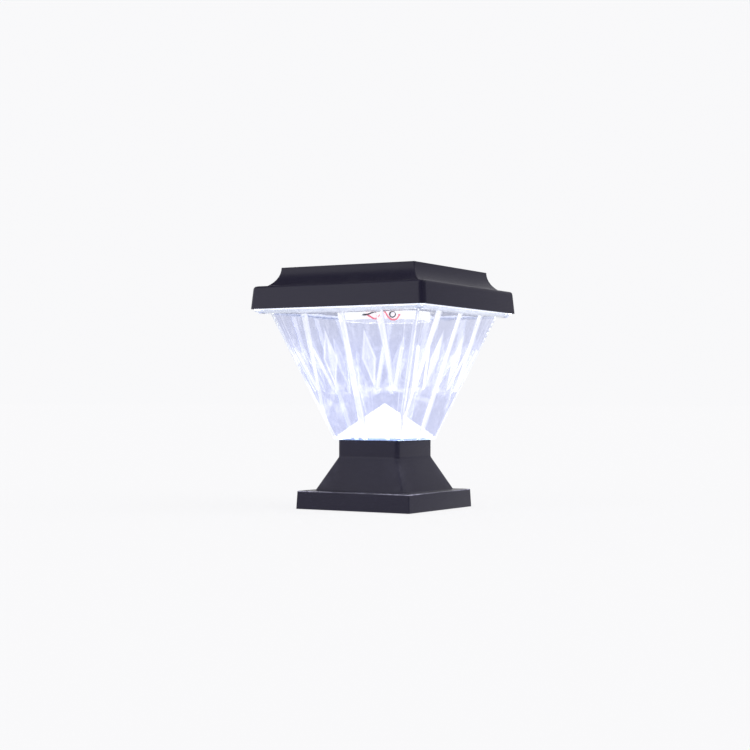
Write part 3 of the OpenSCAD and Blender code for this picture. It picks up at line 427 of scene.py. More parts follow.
def clear_shade():
    """Clear shade with a cool tint. Painted light stands in for the lamp's light on its ribs, fine streaks,
    patches, flange and foot, with a painted blue line along the foot; a greyer top is painted shade.
    """
    material, tree, shader = finish("clear shade")
    skin = use(tree, MOULDING, Colour=SHADE_TINT, Grain_size=7.0, Gloss=0.07, Unevenness=0.05,
               Tone_change=0.04)
    place = on_piece(tree)
    axes = axes_of(tree, place)
    height = axes["Z"]
    ribs = add(tree, "ShaderNodeAttribute", attribute_name="painted_glint").outputs["Fac"]
    upright = add(tree, "ShaderNodeMapping", {"Vector": place}, Scale=(1.0, 1.0, 0.05)).outputs[0]
    streaks = add(tree, "ShaderNodeTexNoise", {"Vector": upright}, Scale=330.0, Detail=3.0, Roughness=0.6)
    fine = rise(tree, streaks.outputs["Fac"], 0.56, 8.0)
    patches = add(tree, "ShaderNodeTexNoise", {"Vector": place}, Scale=46.0, Detail=6.0, Roughness=0.62,
                  Distortion=0.9)
    # More patches of painted light near the low edge of the field, and none near the floor or the ceiling
    near = within(tree, away(tree, height, (Z_DECK + RELIEF_LOW + 1.5) * MM), 140.0)
    more = figure(tree, "ADD", patches.outputs["Fac"], product(tree, near, 0.045))
    above = rise(tree, height, PATCHES_FROM * MM, 60.0)
    below = fall(tree, height, PATCHES_TO * MM, 60.0)
    sparkle = product(tree, rise(tree, more, 0.545, 9.0), above, below)
    # Painted light on the rim of the flange, a painted glow on the flange itself, and painted light on the
    # wall beside the floor
    rim = rise(tree, height, (Z_CAP - 0.9) * MM, 2000.0)
    flange = rise(tree, height, (Z_FLANGE + 0.2) * MM, 2000.0)
    foot = product(tree, fall(tree, height, (Z_FLOOR - 0.1) * MM, 1500.0),
                   rise(tree, height, (Z_DECK + 0.6) * MM, 2500.0))
    lit = product(tree, ribs, RIB_GLINT)
    for painted_light, strength in ((fine, STREAK_GLINT), (sparkle, PATCH_GLINT), (rim, RIM_GLINT),
                             (foot, FOOT_GLINT)):
        lit = figure(tree, "MAXIMUM", lit, product(tree, painted_light, strength))
    # A broken blue line of painted light along the shade's foot
    breaks = add(tree, "ShaderNodeTexNoise", {"Vector": place}, Scale=60.0)
    line = product(tree, fall(tree, height, (Z_DECK + 1.5) * MM, 3000.0),
                   fall(tree, breaks.outputs["Fac"], 0.62, 20.0))
    painted_glow = blend(tree, flange, SHADE_PAINTED_GLOW, FLANGE_PAINTED_GLOW)
    shine = blend(tree, lit, painted_glow, GLINT_TONE)
    tree.links.new(blend(tree, line, shine, FOOT_PAINTED_LINE_TONE), shader.inputs["Emission Color"])
    shader.inputs["Emission Strength"].default_value = SHADE_SHINE
    # Greyer towards the top: painted shade
    tint = blend(tree, rise(tree, height, TOP_PAINTED_SHADE_FROM * MM, 30.0), skin.outputs["Colour"], SHADE_TOP_PAINTED_SHADE)
    # Bluer glass by the floor: part of the painted blue line at the foot
    low = fall(tree, height, (Z_FLOOR - 1.2) * MM, 900.0)
    tree.links.new(blend(tree, low, tint, SHADE_FOOT_PAINTED_LINE_TINT), shader.inputs["Base Color"])
    shader.inputs["Roughness"].default_value = 0.04
    shader.inputs["Transmission Weight"].default_value = 1.0
    shader.inputs["IOR"].default_value = 1.49
    bump(tree, shader, skin.outputs["Height"], 0.05)
    return material


def milky_diffuser():
    """Milky disc in front of the LEDs, brighter under each of them and dimmer seen from the side."""
    material, tree, shader = finish("milky diffuser")
    place = on_piece(tree)
    axes = axes_of(tree, place)
    out = figure(tree, "SQRT", figure(tree, "ADD", figure(tree, "POWER", axes["X"], 2.0),
                                      figure(tree, "POWER", axes["Y"], 2.0)))
    turn = product(tree, figure(tree, "ARCTAN2", axes["Y"], axes["X"]), LED_COUNT)
    spokes = product(tree, figure(tree, "ADD", figure(tree, "COSINE", turn), 1.0), 0.5)
    ring = within(tree, away(tree, out, LED_RING_R * MM), 110.0)
    warm = blend(tree, product(tree, spokes, ring), (0.86, 0.82, 0.72, 1), (1, 0.97, 0.88, 1))
    aside = add(tree, "ShaderNodeLayerWeight", Blend=0.4).outputs["Facing"]
    dim = LAMP_GLOW_ASIDE / LAMP_GLOW
    shine = blend(tree, aside, warm, (0.93 * dim, 0.95 * dim, dim, 1))
    tree.links.new(shine, shader.inputs["Emission Color"])
    shader.inputs["Emission Strength"].default_value = LAMP_GLOW
    shader.inputs["Base Color"].default_value = (0.62, 0.64, 0.7, 1)
    shader.inputs["Roughness"].default_value = 0.7
    shader.inputs["Specular IOR Level"].default_value = 0.2
    grain = add(tree, "ShaderNodeTexNoise", {"Vector": place}, Scale=1800.0, Detail=2.0)
    bump(tree, shader, grain.outputs["Fac"], 0.01)
    return material


def silicon_cells():
    """Dark blue cells: fine printed fingers, crystal grain and a slightly different tone on each strip."""
    material, tree, shader = finish("silicon cells")
    place = on_piece(tree)
    axes = axes_of(tree, place)
    across = figure(tree, "FRACT", product(tree, axes["X"], PER_M / FINGER_PITCH))
    finger = figure(tree, "LESS_THAN", across, FINGER_W / FINGER_PITCH)
    strip = figure(tree, "FLOOR", product(tree, figure(tree, "ADD", axes["Y"], CELLS_W / 2 * MM),
                                          PER_M / STRIP_PITCH))
    half = figure(tree, "GREATER_THAN", axes["X"], 0.0)
    number = figure(tree, "ADD", strip, product(tree, half, 17.0))
    which = add(tree, "ShaderNodeTexWhiteNoise", {"W": number}, noise_dimensions="1D")
    grain = add(tree, "ShaderNodeTexVoronoi", {"Vector": place}, Scale=210.0)
    tone = figure(tree, "ADD", product(tree, which.outputs["Value"], 0.5),
                  product(tree, grain.outputs["Distance"], 60.0), clamp=True)
    cell = blend(tree, tone, (0.006, 0.010, 0.045, 1), (0.014, 0.028, 0.11, 1))
    tree.links.new(blend(tree, finger, cell, (0.32, 0.34, 0.38, 1)), shader.inputs["Base Color"])
    shader.inputs["Roughness"].default_value = 0.28
    shader.inputs["Coat Weight"].default_value = 0.3
    bump(tree, shader, finger, 0.01)
    return material


def panel_cover():
    """Clear laminated cover over the cells, with a fine orange-peel surface."""
    material, tree, shader = finish("panel cover")
    place = on_piece(tree)
    peel = add(tree, "ShaderNodeTexNoise", {"Vector": place}, Scale=420.0, Detail=2.0)
    shader.inputs["Base Color"].default_value = (0.95, 0.97, 0.99, 1)
    shader.inputs["Transmission Weight"].default_value = 1.0
    shader.inputs["Roughness"].default_value = 0.04
    shader.inputs["IOR"].default_value = 1.45
    bump(tree, shader, peel.outputs["Fac"], 0.03)
    return material


def circuit_board(name, mask, copper, gloss):
    """Solder mask over copper tracks: the tracks show as a slightly raised, lighter maze."""
    material, tree, shader = finish(name)
    place = on_piece(tree)
    tracks = add(tree, "ShaderNodeTexBrick", {"Vector": place}, Scale=260.0, **{"Mortar Size": 0.035})
    wave = add(tree, "ShaderNodeTexNoise", {"Vector": place}, Scale=90.0, Detail=1.0)
    shown = product(tree, tracks.outputs["Fac"], figure(tree, "GREATER_THAN", wave.outputs["Fac"], 0.47))
    skin = use(tree, MOULDING, Colour=(*mask, 1), Grain_size=0.4, Gloss=gloss, Unevenness=0.06,
               Tone_change=0.1)
    tree.links.new(blend(tree, shown, skin.outputs["Colour"], (*copper, 1)), shader.inputs["Base Color"])
    tree.links.new(skin.outputs["Roughness"], shader.inputs["Roughness"])
    bump(tree, shader, shown, 0.03)
    return material


def wrapped_cell():
    """Shrink-wrapped battery cell: a blue sleeve that ends short of the bare nickel ends."""
    material, tree, shader = finish("wrapped cell")
    along = figure(tree, "ABSOLUTE", axes_of(tree, on_piece(tree))["X"])
    bare = figure(tree, "GREATER_THAN", along, CELL_BARE * MM)
    skin = use(tree, MOULDING, Colour=(0.03, 0.12, 0.42, 1), Grain_size=1.4, Gloss=0.3, Unevenness=0.1,
               Tone_change=0.12)
    surface = blend(tree, bare, skin.outputs["Colour"], (0.62, 0.6, 0.56, 1))
    tree.links.new(surface, shader.inputs["Base Color"])
    tree.links.new(bare, shader.inputs["Metallic"])
    tree.links.new(skin.outputs["Roughness"], shader.inputs["Roughness"])
    bump(tree, shader, skin.outputs["Height"], 0.02)
    return material


def led_face():
    """LED package: a white frame with a yellow face that shines."""
    material, tree, shader = finish("led face")
    place = on_piece(tree)
    grain = add(tree, "ShaderNodeTexNoise", {"Vector": place}, Scale=900.0, Detail=2.0)
    tree.links.new(blend(tree, grain.outputs["Fac"], (0.95, 0.82, 0.35, 1), (0.98, 0.9, 0.6, 1)),
                   shader.inputs["Base Color"])
    shader.inputs["Emission Color"].default_value = (1, 0.95, 0.82, 1)
    shader.inputs["Emission Strength"].default_value = 2.0
    shader.inputs["Roughness"].default_value = 0.3
    return material


# Settings of the finishes: tones and strengths, and places in millimetres

# Tones of the skirt's scuffs and painted ridge highlight, of the painted highlight on the foot's edge, and of
# dust
RIDGE_SCUFF_AND_HIGHLIGHT_TONE, EDGE_HIGHLIGHT_TONE, DUST_TONE = (0.16, 0.16, 0.22, 1), (0.5, 0.49, 0.64, 1), (0.34, 0.33, 0.32, 1)
# The shade's own tint; greyer at the top, which is painted shade; bluer at the foot, part of the painted blue
# line
SHADE_TINT, SHADE_TOP_PAINTED_SHADE, SHADE_FOOT_PAINTED_LINE_TINT = (0.79, 0.815, 0.96, 1), (0.8, 0.82, 0.92, 1), (0.62, 0.82, 1, 1)
# Painted light on the shade: its glow, stronger on the flange; the colour of that light and of the blue foot
# line; its strength; how much the ribs, streaks, patches, the flange's rim and the foot get; the heights of
# the patches and of the painted shade at the top
SHADE_PAINTED_GLOW, FLANGE_PAINTED_GLOW = (0, 0, 0.006, 1), (0.02, 0.05, 0.14, 1)
GLINT_TONE, FOOT_PAINTED_LINE_TONE, SHADE_SHINE = (1, 1, 0.98, 1), (0.4, 0.54, 1, 1), 0.62
RIB_GLINT, STREAK_GLINT, PATCH_GLINT, RIM_GLINT, FOOT_GLINT = 0.43, 0.15, 0.3, 0.5, 0.95
PATCHES_FROM, PATCHES_TO, TOP_PAINTED_SHADE_FROM = 64.0, 138.0, 118.0
LAMP_GLOW, LAMP_GLOW_ASIDE = 2.4, 0.3
LED_COUNT, LED_RING_R = 8, 14.0
CELLS_W, STRIPS, STRIP_GAP, FINGER_W, FINGER_PITCH = 104.0, 6, 1.4, 0.117, 1.3
STRIP_PITCH = (CELLS_W - STRIP_GAP * (STRIPS - 1)) / STRIPS + STRIP_GAP
CELL_BARE = 30.8

BLACK = plastic("black moulding", (0.0145, 0.0125, 0.033), 0.38, grain=0.5, depth=0.01, dust=0.2, level=0.3,
                scuffs_and_highlights=0.3, sheen=0.12)
CLEAR = clear_shade()
# The reflector gives off light: painted lamp light, though it is no lamp
PAINTED_LIT_REFLECTOR = plastic("white reflector, painted lamp light", (0.86, 0.87, 0.88), 0.35, grain=0.8, glow=((1, 1, 1), 0.95))
WHITE = plastic("white moulding", (0.8, 0.8, 0.78), 0.4, grain=0.7)
# The housing of the lamp gives off light: painted lamp light, though it is no lamp
PAINTED_LIT_HOUSING = plastic("lamp housing", (0.86, 0.85, 0.8), 0.38, grain=0.7, glow=((1, 1, 0.9), 0.85))
# The button gives off light: painted lamp light, though it is no lamp
PAINTED_LIT_BUTTON = plastic("white button, painted lamp light", (0.85, 0.84, 0.82), 0.3, grain=0.3, glow=((1, 0.99, 0.95), 0.8))
STEEL = metal("zinc steel", (0.62, 0.63, 0.65), 0.32)
NICKEL = metal("nickel", (0.66, 0.63, 0.58), 0.25)
RIBBON = metal("tinned ribbon", (0.7, 0.71, 0.73), 0.35)
FOAM = plastic("foam gasket", (0.028, 0.028, 0.03), 0.85, grain=0.35, depth=0.08, level=0.2)
RUBBER = plastic("black rubber", (0.018, 0.018, 0.02), 0.6, grain=0.45, depth=0.02, level=0.3)
TRIM = plastic("black trim", (0.02, 0.02, 0.022), 0.42, grain=0.4)
EPOXY = plastic("component body", (0.022, 0.022, 0.025), 0.5, grain=0.25, depth=0.02)
BACKING = plastic("panel backing", (0.78, 0.79, 0.8), 0.4, grain=0.8)
RED_LEAD = plastic("red lead", (0.55, 0.02, 0.035), 0.35, grain=0.9, depth=0.02)
# The red leads by the lamp give off light: painted lamp light
PAINTED_LIT_LEAD = plastic("red lead by the lamp, painted lamp light", (0.6, 0.04, 0.06), 0.35, grain=0.9, depth=0.02,
                   glow=((1, 0.22, 0.28), 0.8))
BLACK_LEAD = plastic("black lead", (0.02, 0.02, 0.022), 0.35, grain=0.9, depth=0.02)
CELLS = silicon_cells()
COVER = panel_cover()
GREEN_BOARD = circuit_board("green board", (0.012, 0.13, 0.05), (0.03, 0.24, 0.09), 0.3)
WHITE_BOARD = circuit_board("white board", (0.82, 0.82, 0.79), (0.72, 0.72, 0.69), 0.35)
CELL_WRAP = wrapped_cell()
LED = led_face()
DIFFUSER = milky_diffuser()

FINISHES = {
    STEEL: "base_screws shade_screws lamp_screws holder_screws board_screws",
    NICKEL: "battery_contacts", RIBBON: "cell_ribbons", FOAM: "cap_gasket", WHITE: "ceiling_tray",
    PAINTED_LIT_HOUSING: "lamp_housing", WHITE_BOARD: "led_board", LED: "led_chips", DIFFUSER: "diffuser",
    TRIM: "button_bezel switch_body battery_holder battery_strap", PAINTED_LIT_BUTTON: "push_button",
    CELL_WRAP: "battery_cell", GREEN_BOARD: "control_board", EPOXY: "board_components",
    RUBBER: "lead_grommet lead_seal panel_seal", BACKING: "solar_board", CELLS: "solar_cells",
    COVER: "panel_cover"}
for material, names in FINISHES.items():
    for name in names.split():
        paint(nodes[name], material)


# Base: stepped foot, leaning skirt and neck, hollow from below

base = loft("base_skin", soften([
    (NECK_W / 2 - BASE_WALL, 2, Z_DECK - BASE_WALL, 0),
    (NECK_W / 2 - BASE_WALL, 2, Z_NECK - 0.5, 0.6),
    (SKIRT_W / 2 - SKIRT_WALL, 2, FOOT_H - BASE_WALL, 0.6),
    (FOOT_TOP_W / 2 - BASE_WALL, 0.8, FOOT_H - BASE_WALL, 0.5),
    (FOOT_W / 2 - BASE_WALL, 0.8, 0, 0.2),
    (FOOT_W / 2, 0.8, 0, 0.35),
    (FOOT_TOP_W / 2, 0.8, FOOT_H, 0.55),
    (SKIRT_W / 2, 4, FOOT_H, 0.5),
    (NECK_W / 2, 4, Z_NECK, 0.7),
    (NECK_W / 2, 4, Z_DECK, 0.35),
    (NECK_W / 2 - 1, 3, Z_DECK, 0)]))
bosses = rods(MOUNT_U, MOUNT_BOSS_R, 0, FOOT_H - 1)
bosses += rods(DECK_SCREW_U, DECK_BOSS_R, Z_DECK - BASE_WALL - DECK_BOSS_H, Z_DECK - 1)
bosses += [bar(SKIRT_W / 2 - SKIRT_WALL + 1, FOOT_TOP_W / 2 - 1, u - GUSSET_T / 2, u + GUSSET_T / 2, 3,
               FOOT_H - 1, quarter) for quarter in range(4) for u in (-GUSSET_U, GUSSET_U)]
combine(base, bosses, "UNION")
holes = rods(MOUNT_U, MOUNT_HOLE_R, -1, FOOT_H + 1)
holes += rods(DECK_SCREW_U, SCREW_HOLE_R, Z_DECK - 10, Z_DECK + 1)
holes += rods(DECK_SCREW_U, HEAD_HOLE_R, Z_DECK - 10, Z_DECK - BASE_WALL)
combine(base, holes, "DIFFERENCE")
smooth(base)
paint(base, BLACK)
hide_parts("base_shell")


# Cap: band with a soft upper edge, ledge, coved roof and the recess for the panel

COVE_R = ((LEDGE_HALF - TOP_HALF) ** 2 + (Z_TOP - Z_BAND) ** 2) / (2 * (LEDGE_HALF - TOP_HALF))


def cove(radius, corner, first, last, steps):
    """Levels of a skin along the cove's arc, between two heights."""
    turns = [math.asin((Z_TOP - z) / radius) for z in (first, last)]
    out = []
    for i in range(steps + 1):
        a = turns[0] + (turns[1] - turns[0]) * i / steps
        out.append((TOP_HALF + COVE_R - radius * math.cos(a), corner, Z_TOP - radius * math.sin(a), 0))
    return out


inner_cove = cove(COVE_R + CAP_WALL, 1.0, Z_PANEL - CAP_WALL, Z_BAND - CAP_WALL + 0.3, 12)
outer_cove = cove(COVE_R, 0.7, Z_BAND + 0.6, Z_TOP - 0.5, 26)
cap = loft("cap_skin", soften(inner_cove + [
    (LEDGE_HALF - CAP_WALL / 2, 1, Z_BAND - CAP_WALL, 0),
    (BAND_IN_TOP, 3, Z_BAND - CAP_WALL, 1),
    (BAND_IN_LOW, 3, Z_RIB, 0),
    (RIB_HALF, 3, Z_RIB, 0),
    (RIB_HALF, 3, Z_REBATE, 0),
    (FLANGE_W / 2, FLANGE_R, Z_REBATE, 0),
    (FLANGE_W / 2, FLANGE_R, Z_CAP, 0),
    (CAP_W / 2, CAP_R, Z_CAP, 0.35),
    (BAND_TOP_W / 2, CAP_R, Z_BAND, 2.4),
    (LEDGE_HALF + 0.35, 1, Z_BAND, 0.5)] + outer_cove + [
    (TOP_HALF, 0.7, Z_TOP, 0.45),
    (RECESS_HALF, 1.5, Z_TOP, 0.3),
    (RECESS_HALF, 1.5, Z_PANEL, 0)]), corner=10)
thick = (FLANGE_SCREW_U - 1, FLANGE_SCREW_U + 1)
reach = (FLANGE_SCREW_U, CAP_W / 2 - CAP_WALL + 0.4)
webs = []
for quarter in range(4):
    for across, along in ((reach, thick), (thick, reach)):
        webs.append(bar(*across, *along, Z_REBATE + 0.01, Z_TRAY + CAP_BOSS_H, quarter))
combine(cap, webs + rods(FLANGE_SCREW_U, CAP_BOSS_R, Z_TRAY, Z_TRAY + CAP_BOSS_H), "UNION")
combine(cap, rods(FLANGE_SCREW_U, CAP_PILOT_R, Z_TRAY - 1, Z_TRAY + CAP_BOSS_H - 1)
        + [rod(SEAL_HOLE_R, Z_PANEL - 4, Z_PANEL + 1, PANEL_LEAD_X, PANEL_LEAD_Y)], "DIFFERENCE")
smooth(cap)
paint(cap, BLACK)
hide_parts("cap_shell")


# Reflector: a white pyramid with soft ridges

reflector = loft("reflector_skin", soften([
    (0.6, 0.4, Z_FLOOR + REFLECTOR_H - 3.6, 0),
    (REFLECTOR_W / 2 - 1.8, 0.6, Z_FLOOR + 1.2, 0),
    (REFLECTOR_W / 2 - 1.8, 0.6, Z_FLOOR, 0),
    (REFLECTOR_W / 2, 1, Z_FLOOR, 0.2),
    (REFLECTOR_W / 2, 1, Z_FLOOR + 1.2, 0.5),
    (1.3, 0.9, Z_FLOOR + REFLECTOR_H - 0.7, 0.9),
    (0.5, 0.45, Z_FLOOR + REFLECTOR_H, 0)]), corner=5)
smooth(reflector, 50)
paint(reflector, PAINTED_LIT_REFLECTOR)
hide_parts("pyramid_reflector")


# Shade: flared walls whose outer faces carry ribs, diamonds and slanting strokes

RIB_RISE, RIB_TAIL, STROKE_RISE, FIELD_RISE, EDGE = 2.0, 1.2, 1.7, 0.6, 1.9
MIDDLE_RIB_HALF, SIDE_RIB_HALF, SIDE_RIB_SPREAD, TAIL_HALF, STROKE_HALF = 2.2, 0.8, 1.7, 1.1, 1.1
DIAMOND_HALF_W, DIAMOND_HALF_H, DIAMOND_MID = 6.5, 22.5, RELIEF_LOW + 24.5
STROKE_TOP = RELIEF_LOW + 33
STROKES = (((SIDE_RIB_U - 1.4, STROKE_TOP), (DIAMOND_U + 2, RELIEF_LOW + 1.5)),
           ((SIDE_RIB_U + 0.5, RELIEF_LOW), (SIDE_RIB_U + 14.5, STROKE_TOP)))
RIM_T, FLOOR_HALF = 1.5, 28.45
# Painted light on the corners, on the field's lower edge and in a line beside each corner, and that line's
# place
CORNER_GLINT, EDGE_GLINT, TURN_GLINT, TURN_IN, TURN_SPREAD = 0.3, 0.5, 0.8, 3.4, 6.5
WALL_H = Z_FLANGE - Z_DECK
FLARE = math.atan((SHADE_TOP_W - SHADE_LOW_W) / 2 / WALL_H)


def step(x, width=EDGE):
    """0 up to half the width below zero, 1 from half the width above it, soft between."""
    t = np.clip(x / width + 0.5, 0, 1)
    return t * t * (3 - 2 * t)


def stroke(u, h, a, b, half):
    """Soft mask of a slanting bar between two places (across, height)."""
    a, b = np.array(a, float), np.array(b, float)
    along = (b - a) / np.hypot(*(b - a))
    du, dh = u - a[0], h - a[1]
    s = du * along[0] + dh * along[1]
    side = np.abs(du * along[1] - dh * along[0])
    return step(half - side) * step(s) * step(np.hypot(*(b - a)) - s)


def diamond(v, h):
    """1 at the diamond's middle, 0 on its outline, less outside."""
    return 1 - np.abs(v - DIAMOND_U) / DIAMOND_HALF_W - np.abs(h - DIAMOND_MID) / DIAMOND_HALF_H


def relief(u, h, wider=0.0):
    """How far the ribs and the low field between them stand out, at places across the wall and up it.

    Only the left rib runs on below the field."""
    ribs = RIB_RISE * step(MIDDLE_RIB_HALF + wider - np.abs(u)) * step(h - 1.2)
    field = FIELD_RISE * step(SIDE_RIB_U - np.abs(u)) * step(h - RELIEF_LOW, 7)
    up = np.clip((h - RELIEF_LOW) / (WALL_H - RELIEF_LOW), 0, 1)
    for side in (-1, 1):
        v = u * side
        edge = np.abs(v - SIDE_RIB_U)
        half = SIDE_RIB_HALF + SIDE_RIB_SPREAD * up + wider
        ribs = np.maximum(ribs, RIB_RISE * step(half - edge) * step(h - RELIEF_LOW))
        if side < 0:
            ribs = np.maximum(ribs, RIB_TAIL * step(TAIL_HALF + wider - edge) * step(h - 10, 4))
        ribs = np.maximum(ribs, (RIB_RISE + FIELD_RISE) * np.clip(diamond(v, h), 0, 1))
        for a, b in STROKES:
            ribs = np.maximum(ribs, STROKE_RISE * stroke(v, h, a, b, STROKE_HALF + wider))
    return ribs, field


def wall_half(h):
    """Half width of the shade at a height up its wall."""
    return np.interp(h, (0, WALL_H), (SHADE_LOW_W / 2, SHADE_TOP_W / 2))


def painted_glint(u, h):
    """How much painted light each place on the wall gets, standing in for the lamp's light it would catch.

    The ribs get it, the outlines of the diamonds, the field's lower edge, and a fine line beside each corner,
    where the inner wall turns."""
    ribs, _ = relief(u, h, 0.15)
    # Painted light on the field's edge, most a little right of the middle rib
    edge = np.exp(-((h - RELIEF_LOW) / 1.1) ** 2) * np.clip(1.3 - 2.8 * np.abs(u - 10) / SIDE_RIB_U, 0, 1)
    # Painted light on a diamond's outline, dimmer inside it
    inward = diamond(np.abs(u), h)
    outlined = np.clip(inward / 0.1 + 0.3, 0, 1) * (1 - 0.68 * np.clip((inward - 0.2) / 0.14, 0, 1))
    ribs = np.where(inward > -0.03, outlined, np.clip(ribs / RIB_RISE * 1.5, 0, 1))
    turn = np.abs(wall_half(h) - np.abs(u) - TURN_IN - TURN_SPREAD * h / WALL_H)
    return np.maximum(np.maximum(ribs, EDGE_GLINT * edge), TURN_GLINT * step(0.35 - turn, 0.5))


def shade_skin(across, rows, corner):
    """The whole shade as one closed skin; its outer walls are a fine grid raised by the relief."""
    inside = soften([
        (FLOOR_HALF, 1.4, Z_FLOOR, 0),
        (SHADE_TOP_W / 2 - SHADE_WALL, 1.4, Z_FLANGE, 0.5),
        (SHADE_TOP_W / 2 - SHADE_WALL, 1.4, Z_CAP, 0.3),
        (FLANGE_W / 2 - LIP_T - 0.1, 2, Z_CAP, 0),
        (FLANGE_W / 2 - LIP_T - 0.1, 2, Z_CAP + LIP_H, 0.3),
        (FLANGE_W / 2 - 0.1, 4, Z_CAP + LIP_H, 0.3),
        (FLANGE_W / 2 - 0.1, 4, Z_CAP, 0),
        (FLANGE_W / 2, 4, Z_CAP - 0.05, 0),
        (FLANGE_W / 2, 4, Z_CAP - RIM_T, 0.4),
        (FLANGE_W / 2 - 4.3, 3, Z_FLANGE, 0.5),
        (SHADE_TOP_W / 2 + 2.6, 3, Z_FLANGE, 0)])
    heights = np.linspace(WALL_H, 0.7, rows)
    walls = [(wall_half(h), 3.0, Z_DECK + h) for h in heights]
    levels = inside + walls + [(SHADE_LOW_W / 2 - 0.1, 3, Z_DECK + 0.25), (SHADE_LOW_W / 2 - 0.5, 3, Z_DECK)]
    share = across + corner
    n = 4 * share
    verts, painted_light = [], []
    lean = Vector((0, -math.cos(FLARE), -math.sin(FLARE)))
    for k, (half, radius, z) in enumerate(levels):
        ring = outline(half, radius, across, corner)
        rises, lights = np.zeros(n), np.zeros(n)
        if len(inside) <= k < len(inside) + rows:
            flat = half - radius
            u = flat * (2 * np.arange(across + 1) / across - 1)
            h = np.full(across + 1, z - Z_DECK)
            # Painted light: a little on the corners, and on the walls what the ribs, outlines, edge and
            # corner lines get
            lights[:] = CORNER_GLINT
            for start in range(0, n, share):
                rises[start:start + across + 1] = np.maximum(*relief(u, h))
                lights[start:start + across + 1] = painted_glint(u, h)
        for i, p in enumerate(ring):
            v = Vector((p.x, p.y, z))
            if rises[i] > 0:
                v += Matrix.Rotation((i // share) * math.pi / 2, 3, "Z") @ lean * rises[i]
            verts.append(v)
        painted_light += list(lights)
    faces = []
    for k in range(len(levels) - 1):
        for i in range(n):
            a, b = k * n + i, k * n + (i + 1) % n
            faces.append((a, a + n, b + n, b))
    faces.append(tuple(range(n)))
    last = (len(levels) - 1) * n
    faces.append(tuple(last + i for i in range(n - 1, -1, -1)))
    made = piece("shade_skin", verts, faces)
    # The painted light goes to the shade's finish as a point attribute
    layer = made.data.attributes.new("painted_glint", "FLOAT", "POINT")
    layer.data.foreach_set("value", np.array(painted_light, np.float32))
    return made


shade = shade_skin(260, 190, 6)
combine(shade, rods(FLANGE_SCREW_U, HEAD_HOLE_R + 0.9, Z_FLANGE + 0.02, Z_CAP - 0.5), "UNION", "MANIFOLD")
holes = rods(DECK_SCREW_U, SCREW_HOLE_R, Z_DECK - 1, Z_FLOOR + 1)
holes += rods(FLANGE_SCREW_U, SCREW_HOLE_R, Z_FLANGE - 1, Z_CAP + 1)
holes += rods(FLANGE_SCREW_U, HEAD_HOLE_R, Z_FLANGE - 1, Z_FLANGE + 2)
combine(shade, holes, "DIFFERENCE", "MANIFOLD")
smooth(shade, 50)
paint(shade, CLEAR)
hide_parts("lampshade")


# Leads: smooth round tubes along the same routes as the part's source

LEAD_R, LAMP_H = 0.65, 7.2
CONTROL_X, CONTROL_Y, CONTROL_L, CONTROL_W = -26.0, -44.0, 60.0, 24.0
BATTERY_Y, HOLDER_L, HOLDER_W, CELL_L = 40.0, 73.0, 22.4, 65.0
HOLE_R, HOLE_TURN, HOLE_STEP = LAMP_R + 5.5, -62, 1.42
Z_BUTTON, Z_LED_BOARD, LED_BOARD_R = 151.0, 152.0, 24.0
Z_LIE, Z_PAD, Z_CELL = 157.6, 161.47, 170.8
SWITCH_OUT, SWITCH_TURN, BUTTON_TURN = 32.613, -41, -50
EDGE_Y = CONTROL_Y + CONTROL_W / 2


def polar(r, turn, z):
    """A place round the lamp's axis, from its distance and its turn in degrees."""
    return (r * math.cos(math.radians(turn)), r * math.sin(math.radians(turn)), z)


def by_button(out, side, z):
    """A place by the button: how far out along its axis, how far to the side, and its height."""
    a = math.radians(BUTTON_TURN)
    return (out * math.cos(a) - side * math.sin(a), out * math.sin(a) + side * math.cos(a), z)


def in_hole(k, z, dx=0.0, dy=0.0):
    """Place of lead k in the tray's hole, or beside it by dx and dy."""
    x, y, _ = polar(HOLE_R, HOLE_TURN, 0)
    return (x + dx, y + (k - 1) * HOLE_STEP + dy, z)


def led_pad(turn):
    """End of a lead: through the housing's wall to its pad on the LED board."""
    return [polar(LAMP_R + 0.6, turn, Z_BUTTON), polar(LAMP_R - 3.5, turn, Z_BUTTON),
            polar(LED_BOARD_R, turn, Z_LED_BOARD - LEAD_R - 0.1),
            polar(LED_BOARD_R - 2.5, turn, Z_LED_BOARD - LEAD_R - 0.02)]


def board_end(k):
    """Start of lead k: from its pad on the control board down through the tray."""
    pad_x, y = CONTROL_X + CONTROL_L / 2, CONTROL_Y + 2 + 4 * k
    return [(pad_x - 4, y, Z_PAD), (pad_x, y, Z_PAD + 0.1), in_hole(k, Z_TRAY + 4, -6, (k - 1) * 1.2),
            in_hole(k, Z_TRAY + 2), in_hole(k, Z_CAP - 0.6)]


def contact_end(s):
    """Start of a battery lead, at the contact on the -X or +X side."""
    return [(s * (CELL_L / 2 + 1.8), BATTERY_Y - 5 - LEAD_R, Z_CELL + 3.6),
            (s * (CELL_L / 2 + 1.8), BATTERY_Y - 8.6, Z_CELL + 4.6),
            (s * (CELL_L / 2 + 2), BATTERY_Y - HOLDER_W / 2 - 1.6, Z_CELL + 1.8)]


def battery_end(x):
    """End of a battery lead, on the control board's edge."""
    return [(x, EDGE_Y + 4, Z_LIE + 2.6), (x, EDGE_Y - 1, Z_PAD + 0.1), (x, EDGE_Y - 4, Z_PAD)]


def panel_route(s):
    """One of the panel's two leads: through the seal in the roof and down to the control board."""
    x, y = PANEL_LEAD_X + s * 1.3, PANEL_LEAD_Y
    far = PANEL_LEAD_X + s * 4
    return [(x, y, Z_PANEL + 1.1), (x, y, Z_PANEL - 1.5), (x, y, Z_PANEL - 2), (x, y, Z_PANEL - 4.6),
            (PANEL_LEAD_X + s * 2.3, y - 2, Z_PANEL - 8), (far, y - 7, Z_PANEL - 15),
            (far, EDGE_Y + 1, Z_PAD + 3), (far, EDGE_Y - 1.4, Z_PAD + 0.4), (far, EDGE_Y - 4, Z_PAD)]


